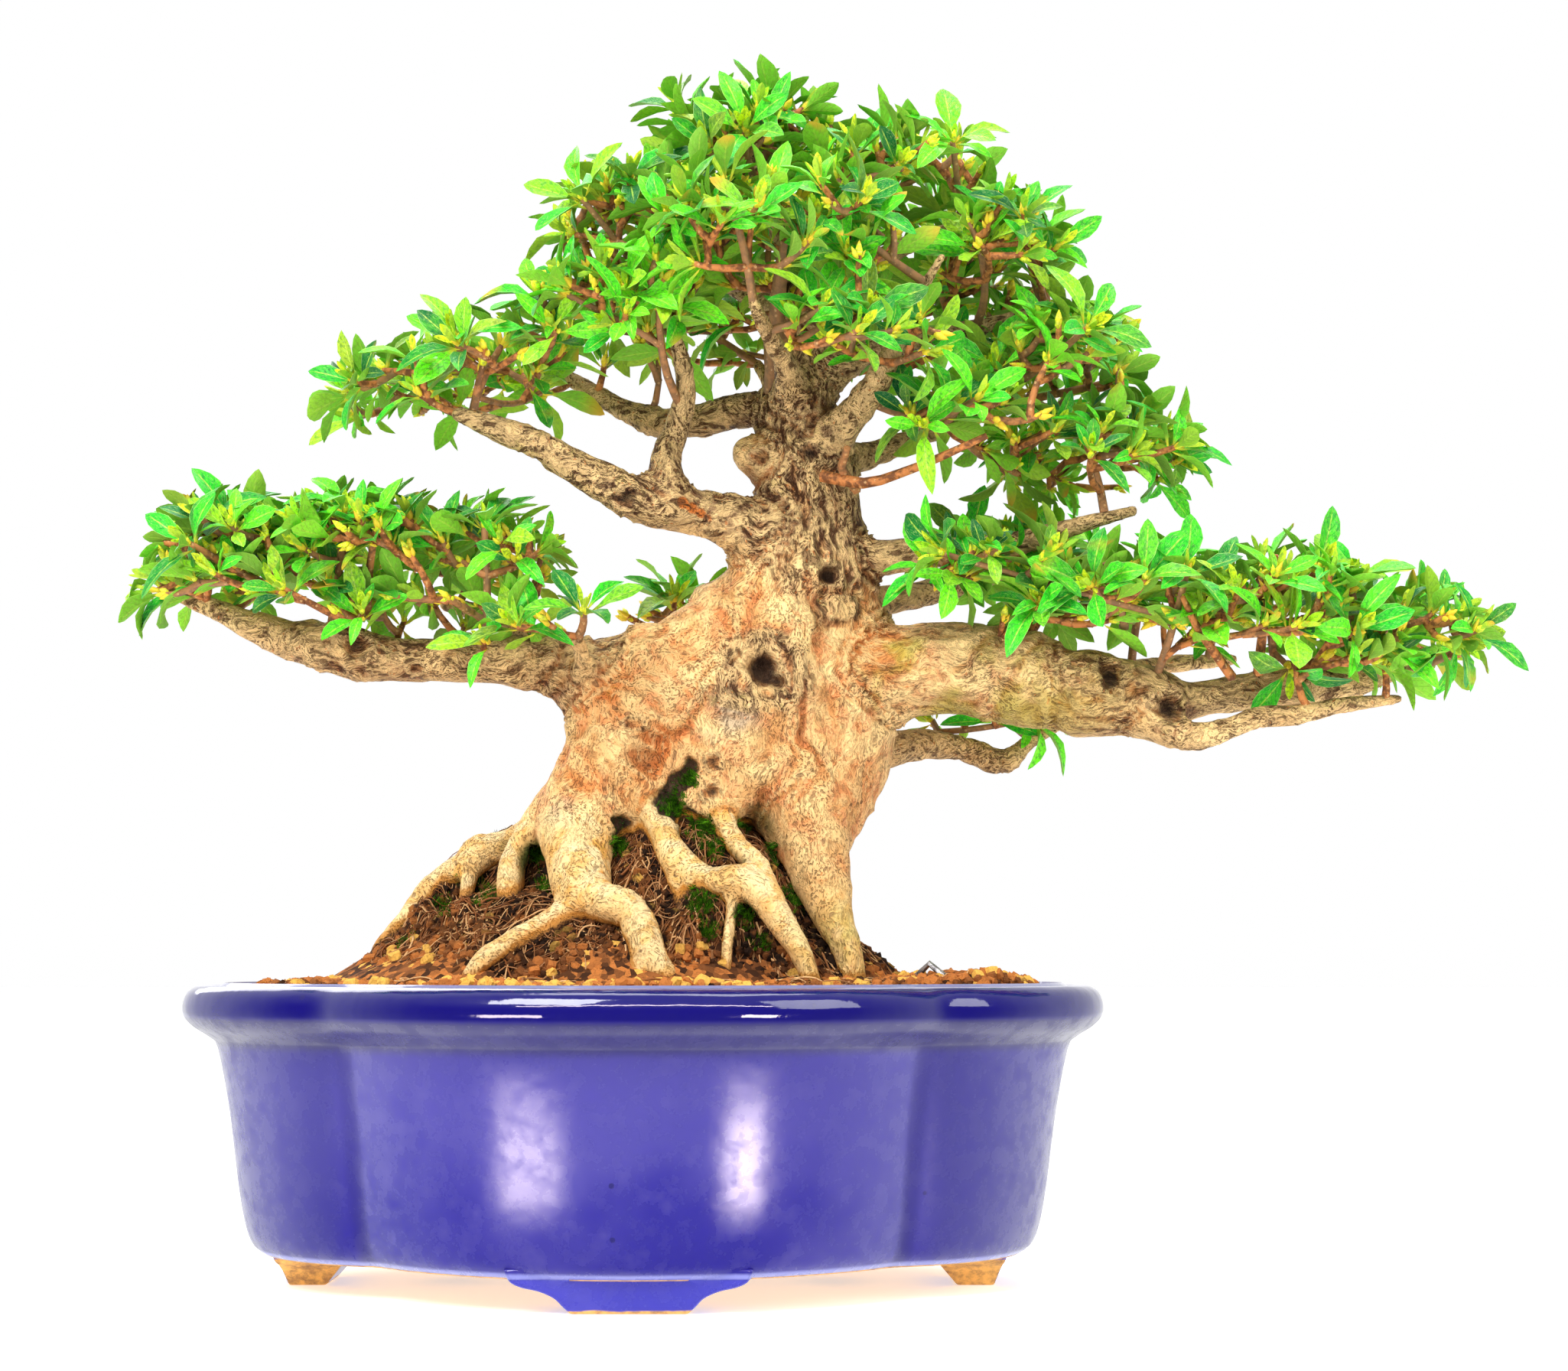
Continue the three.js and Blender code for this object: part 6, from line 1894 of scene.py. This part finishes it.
def dressShoot(shoot, rng, leaves):  # adds the whorl, lower leaves, young leaves and the bud of one shoot
    look = addedShoots
    last, before = shoot["route"][3][:3], shoot["route"][2][:3]
    axis = unit(unit(last - before) + 0.5 * shoot["out"])
    pull = np.array([0, 0, 0.25])
    if "leaves" not in shoot:
        axis = unit(axis + pull)
    side = turned(unit(np.cross((0.1, 0, 1), axis)), axis, 2 * math.pi * rng.random())
    vigour = 0.82 + 0.36 * rng.random()
    shade = rng.random()

    def add(base, radial, lean, length, kind, width, tint):
        along = radial * math.sin(lean) + axis * math.cos(lean)
        upper = unit(axis - along * np.dot(axis, along))
        roll = rng.normal(0, 0.22)
        leaves.append((base, along, turned(upper, along, roll), length, width, kind, tint))

    tinted = lambda: float(np.clip(0.62 * shade + 0.38 * rng.random(), 0, 0.98))
    if "leaves" in shoot:
        for base, along, upper, length in shoot["leaves"]:
            leaves.append((base, along, upper, length, 1.0, int(rng.integers(0, 6)), tinted()))
    else:
        count = int(rng.integers(look["whorl"][0], look["whorl"][1] + 1))
        for i in range(count):
            radial = turned(side, axis, look["spiral"] * i + rng.normal(0, 0.3))
            share = i / count
            lean = look["lean"][1] + (look["lean"][0] - look["lean"][1]) * share + rng.normal(0, 0.18)
            length = (look["lengths"][0] + rng.random() * (look["lengths"][1] - look["lengths"][0])) * vigour
            base = last + radial * 0.5 - axis * (3.0 * (1 - share))
            add(base, radial, lean, length * (1.08 - 0.25 * share), int(rng.integers(0, 6)),
                0.80 + 0.26 * rng.random(), tinted())
    for i in range(int(rng.integers(look["lower"][0], look["lower"][1] + 1))):
        t = 0.45 + 0.45 * rng.random()
        spot = before + (last - before) * t
        radial = turned(side, axis, 2 * math.pi * rng.random())
        add(spot, radial, 1.05 + 0.4 * rng.random(), vigour * (11 + 8 * rng.random()),
            int(rng.integers(0, 6)), 0.9, tinted())
    for i in range(int(rng.integers(look["young"][0], look["young"][1] + 1))):
        low, high = look["youngLengths"]
        radial = turned(side, axis, 2.2 + look["spiral"] * i)
        add(last + axis * 0.6, radial, 0.22 + 0.55 * rng.random(), low + (high - low) * rng.random(),
            6, 1.0, 1.2 + 0.6 * rng.random())
    addBuds(last, axis, side, rng, leaves, 1 + int(rng.integers(0, 3)))


def addBuds(last, axis, side, rng, leaves, count):
    leaves.append((last - axis * 0.6, axis, side, 5.0, 0.8, 7, 1.7 + 1.1 * rng.random()))
    for i in range(count):
        radial = turned(side, axis, fullTurn * rng.random())
        way = unit(axis * (0.9 + rng.random()) + radial * (0.3 + 0.7 * rng.random()))
        spot = last + radial * 0.4 - axis * 2.6 * rng.random()
        leaves.append((spot, way, unit(np.cross(way, side)), 2.6 + 2.6 * rng.random(), 0.75, 7,
                       1.7 + 1.1 * rng.random()))


# One leaf of length 1 along +X: a closed skin with a midrib in a groove, and its own UV map.
leafStations = [(0.0, 0.0), (0.08, 0.075), (0.22, 0.27), (0.41, 0.76), (0.61, 1.0), (0.79, 0.84),
                (0.93, 0.40), (1.0, 0.0)]
leafSection = ((-1, 0), (-0.5, 0), (0, 0), (0.5, 0), (1, 0), (0, -0.028))


def makeLeafShape(name, width, groove, droop, arch, twist, wave):
    points, uv, rings, faces = [], [], [], []
    for u, share in leafStations:
        half = share * width / 2
        line = -droop * u * u + arch * math.sin(math.pi * u)
        angle = twist * (u - 0.3)
        section = leafSection if share else leafSection[2:3]
        rings.append(range(len(points), len(points) + len(section)))
        for v, lift in section:
            y = v * half
            rise = groove * half * (1 - (1 - abs(v)) ** 1.8) + lift
            rise += wave * abs(v) * math.sin(9 * u + 2 * v) * half
            points.append((u, y * math.cos(angle) - rise * math.sin(angle),
                           line + y * math.sin(angle) + rise * math.cos(angle)))
            uv.append((u, 0.5 + 0.5 * v) if lift == 0 else (u, 2.5))
    for a, b in zip(rings[:-1], rings[1:]):
        for i in range(6):
            j = (i + 1) % 6
            if len(a) == 1:
                faces.append((a[0], b[i], b[j]))
            elif len(b) == 1:
                faces.append((a[i], b[0], a[j]))
            else:
                faces.append((a[i], b[i], b[j], a[j]))
    leaf = looseShape(name, points, faces)
    mesh = leaf.data
    layer = mesh.uv_layers.new(name="UVMap")
    for face in mesh.polygons:
        under = any(uv[v][1] > 1.5 for v in face.vertices)
        for loop in face.loop_indices:
            u, v = uv[mesh.loops[loop].vertex_index]
            if under:
                v = 2.5 if v > 1.5 or u in (0.0, 1.0) else 2 + v
            layer.data[loop].uv = (u, v)
    mesh.shade_smooth()
    mesh.set_sharp_from_angle(angle=math.radians(70))
    return leaf


def makeBudShape(name):
    points, faces, sides = [(0, 0, 0)], [], 5
    for u, r in ((0.12, 0.16), (0.4, 0.24), (0.75, 0.13)):
        points += [(u, r * math.cos(a), r * math.sin(a)) for a in np.arange(sides) * 2 * math.pi / sides]
    points.append((1, 0, 0))
    for i in range(sides):
        j = (i + 1) % sides
        faces.append((0, 1 + j, 1 + i))
        for a in (1, 1 + sides):
            faces.append((a + i, a + j, a + sides + j, a + sides + i))
        faces.append((1 + 2 * sides + i, 1 + 2 * sides + j, len(points) - 1))
    bud = looseShape(name, points, faces)
    layer = bud.data.uv_layers.new(name="UVMap")
    for loop in bud.data.loops:
        layer.data[loop.index].uv = (points[loop.vertex_index][0], 0.3)
    bud.data.shade_smooth()
    return bud


leafForms = [  # width, groove, droop, arch, twist, wave
    (0.37, 0.32, 0.12, 0.05, 0.20, 0.06), (0.33, 0.40, 0.24, 0.06, -0.35, 0.10),
    (0.41, 0.26, 0.05, 0.03, 0.40, 0.05), (0.32, 0.46, 0.32, 0.11, -0.15, 0.08),
    (0.35, 0.22, 0.16, 0.08, 0.60, 0.12), (0.39, 0.36, -0.02, 0.02, -0.50, 0.09),
    (0.32, 0.60, -0.12, -0.02, 0.10, 0.03),
]


def makeLeafShapes():
    leaves = [makeLeafShape(f"leafShape{index}", *form) for index, form in enumerate(leafForms)]
    return shelfOf("leafShapes", leaves + [makeBudShape("leafShape7")])


leafLook = {
    "deep": (0.004, 0.125, 0.030, 1),
    "green": (0.026, 0.58, 0.018, 1),
    "bright": (0.17, 0.95, 0.012, 1),
    "olive": (0.58, 0.68, 0.018, 1),
    "yellowGreen": (0.88, 0.96, 0.025, 1),
    "bud": (0.90, 0.58, 0.045, 1),
    "under": (0.32, 0.52, 0.05, 1),
    "rib": (0.62, 0.84, 0.10, 1),
    "hair": (0.68, 0.88, 0.30, 1),
    "stalk": (0.66, 0.60, 0.04, 1),
    "old": (0.66, 0.40, 0.04, 1),
}


def makeLeafMaterial():
    material, place = newMaterial("azaleaLeaf", 0.42, 0.15)
    look = leafLook
    tint = read(material, "tint")
    uv = Value(put(material.node_tree, "ShaderNodeUVMap", uv_map="UVMap").outputs[0])
    u, v = part(uv, 0), part(uv, 1)
    under = calculate("GREATER_THAN", v, 1.5)
    off = abs(v - under * 2.0 - 0.5) * 2.0
    # veins: the midrib, and side veins that sweep forwards
    rib = fade(off, 0.11, 0.03) * fade(u, 1.0, 0.75)
    wave = abs(calculate("FRACT", u * 7.5 - off * 2.0) - 0.5)
    vein = fade(wave, 0.12, 0.03) * fade(off, 1.0, 0.75)
    mottle = noise(place, 900.0)
    # short pale hairs that lie along the blade and fringe its edge
    drawn = shade("ShaderNodeCombineXYZ", {0: u * 9.0, 1: v * 34.0, 2: tint})
    hairs = larger(fade(noise(drawn, 1.6, 2.0, 0.6), 0.56, 0.68) * 0.42, fade(off, 0.93, 0.99) * 0.45)
    # each leaf has its own green: deep, fresh or olive
    hue = shade("ShaderNodeTexWhiteNoise", {"W": tint * 37.0}, "Value", noise_dimensions="1D")
    colour = layered(
        mixColour(fade(tint, 0.12, 0.50), look["deep"], look["green"]),
        (fade(tint, 0.45, 0.88), look["bright"]),
        (fade(hue, 0.66, 1.0) * 0.75, look["olive"]),
        (fade(noise(place, 120.0), 0.45, 0.7) * 0.30, look["bright"]),
        (fade(tint, 1.0, 1.6), look["yellowGreen"]),
        (rib * 0.62, look["rib"]),
        (vein * 0.28, look["deep"]),
        (fade(mottle, 0.45, 0.66) * 0.50, look["deep"]),
        (hairs, look["hair"]),
    )
    oldTip = fade(noise(place, 38.0, 1.0), 0.66, 0.72) * fade(u, 0.5, 1.0)
    colour = layered(
        colour,
        (under, mixColour(0.6, colour, look["under"])),
        (fade(u, 0.26, 0.06), look["stalk"]),
        (oldTip, look["old"]),
        (fade(tint, 1.9, 2.5) * 0.85, look["bud"]),
    )
    height = mottle * 0.35 - vein * 0.45
    return finish(material, {"Base Color": colour, "Roughness": 0.38 + under * 0.25,
                             "Normal": bump(height, 0.55, 0.0003)})


twigLook = {
    "young": (0.56, 0.205, 0.060, 1),
    "old": (0.17, 0.062, 0.024, 1),
    "woody": (0.28, 0.17, 0.085, 1),
    "pale": (0.66, 0.40, 0.17, 1),
}


def makeTwigMaterial():
    material, place = newMaterial("youngTwig", 0.6, 0.15)
    streaks = noise(place, 420.0, 3.0, 0.6)
    colour = layered(
        mixColour(fade(streaks, 0.4, 0.62), twigLook["young"], twigLook["old"]),
        (fade(read(material, "tint"), 0.5, 0.0) * 0.7, twigLook["woody"]),
        (specks(place, 700.0, 0.3, 0.3) * 0.6, twigLook["pale"]),
    )
    return finish(material, {"Base Color": colour, "Normal": bump(streaks, 0.7, 0.0003)})


def makeFoliage(name, leaves, shapes, material):
    inside = []
    low, high = (np.array(corner) / mm - potMiddle / mm for corner in cadBox)
    low, high = low + addedShoots["boxRoom"], high - addedShoots["boxRoom"]
    for base, along, upper, length, width, kind, tint in leaves:
        across = np.cross(upper, along)
        spread = np.abs(across) * length * 0.23 + np.abs(upper) * length * 0.12
        middle = base + along * length * 0.6
        ends = np.array([base - 1, base + 1, base + along * length, middle - spread, middle + spread])
        if np.all(ends >= low) and np.all(ends <= high):
            turn = Matrix(np.column_stack([along, across, upper]).tolist()).to_euler()
            inside.append((base, turn, (length, length * width, length), kind, tint))
    print(name, len(inside), "leaves and buds,", len(leaves) - len(inside), "left out at the edge")
    return copyAt(name, *zip(*inside), shapes, material)


# Bare twigs that the photo shows: pixel, how far in front or behind (mm), radius
seenTwigs = [
    [(1075, 622, -18, 1.9), (1130, 632, -26, 1.7), (1175, 620, -32, 1.5), (1225, 600, -38, 1.3),
     (1290, 570, -44, 1.0)],
    [(1120, 640, -14, 1.7), (1100, 612, -24, 1.4), (1108, 585, -30, 1.1)],
    [(1610, 885, -14, 1.6), (1585, 850, -24, 1.4), (1562, 815, -30, 1.2), (1546, 780, -34, 0.9)],
    [(1645, 880, -12, 1.6), (1652, 820, -24, 1.4), (1660, 775, -28, 1.2), (1668, 725, -32, 0.9)],
    [(1470, 820, -10, 1.6), (1462, 780, -20, 1.3), (1445, 735, -26, 1.0)],
    [(1008, 560, 6, 2.8), (1012, 470, -8, 2.6), (1020, 370, -22, 2.3), (1028, 315, -32, 1.6)],
    [(480, 800, -8, 1.5), (484, 740, -20, 1.2), (492, 690, -30, 1.0)],
]


def twigThrough(spots):
    line = []
    for px, py, y, radius in spots:
        start, way = pixelRay(px, py)
        line.append([*(start + way * ((y - start.y) / way.y)), radius])
    return smoothLine(line, 6.0)


def makeAllFoliage():
    stream = randomStream(packedSprays["seed"])
    draw = lambda: next(stream)
    sprays = growPackedSprays(draw)
    placePackedLeaves(sprays, draw)
    print(len(sprays), "packed sprays grown again")
    added = growAddedShoots(sprays)
    rng = np.random.default_rng(addedShoots["seed"])
    groups = {key: {"leaves": [], "twigs": [], "nodes": []} for key in
              ("left", "right", "crownLeft", "crownRight")}
    packedStems = []
    for index, spray in enumerate(sprays):
        group = groups[region(spray["shoots"][0]["at"])]
        group["nodes"].append(f"spray_{index + 1:02d}")
        packedStems += [smoothLine(stem, 6.0) * (1, 1, 1, 0.85) for stem in spray["stems"]]
        for shoot in spray["shoots"]:
            dressShoot(shoot, rng, group["leaves"])
    barePicks = set(rng.choice(len(added), addedShoots["bare"], replace=False).tolist())
    for index, shoot in enumerate(added):
        group = groups[region(shoot["at"])]
        group["twigs"].append(smoothLine(shoot["route"], 6.0))
        if index not in barePicks:
            dressShoot(shoot, rng, group["leaves"])
            continue
        last = shoot["route"][3][:3]
        axis = unit(last - shoot["route"][2][:3])
        addBuds(last, axis, unit(np.cross((0.1, 0, 1), axis)), rng, group["leaves"], 3)
    shapes, material = makeLeafShapes(), makeLeafMaterial()
    for key, group in groups.items():
        piece = makeFoliage("leaves_" + key, group["leaves"], shapes, material)
        wear(piece, "leaf", *group["nodes"])
    twigs = packedStems + [line for group in groups.values() for line in group["twigs"]]
    twigs += [twigThrough(spots) for spots in seenTwigs]
    tints = [float(rng.random()) for line in twigs]
    tints[: len(packedStems)] = [0.2 * tint for tint in tints[: len(packedStems)]]
    wear(makeTubes("twigs", twigs, 5, makeTwigMaterial(), tints), "bark")


makeAllFoliage()


# Small parts that keep their imported shape

keptLook = {
    "wire": (0.42, 0.42, 0.43, 1),
    "wireStain": (0.13, 0.13, 0.14, 1),
    "screen": (0.012, 0.013, 0.014, 1),
    "screenPale": (0.035, 0.036, 0.038, 1),
}


def makeWire():
    material, place = newMaterial("dullWire", 0.42, metallic=0.85)
    stains = noise(place, 420.0, 3.0, 0.6)
    colour = mixColour(fade(stains, 0.4, 0.65), keptLook["wire"], keptLook["wireStain"])
    return finish(material, {"Base Color": colour, "Normal": bump(stains, 0.4, 0.0002)})


def makeScreens():
    material, place = newMaterial("plasticScreen", 0.7)
    grit = noise(place, 700.0, 3.0, 0.6)
    colour = mixColour(grit, keptLook["screen"], keptLook["screenPale"])
    return finish(material, {"Base Color": colour, "Normal": bump(grit, 0.3, 0.0001)})


screenMaterial = makeScreens()
keptNodes = {"anchor_wire": makeWire(), "screen_left": screenMaterial, "screen_right": screenMaterial}
for name, material in keptNodes.items():
    bpy.data.objects[name].data.materials.clear()
    bpy.data.objects[name].data.materials.append(material)
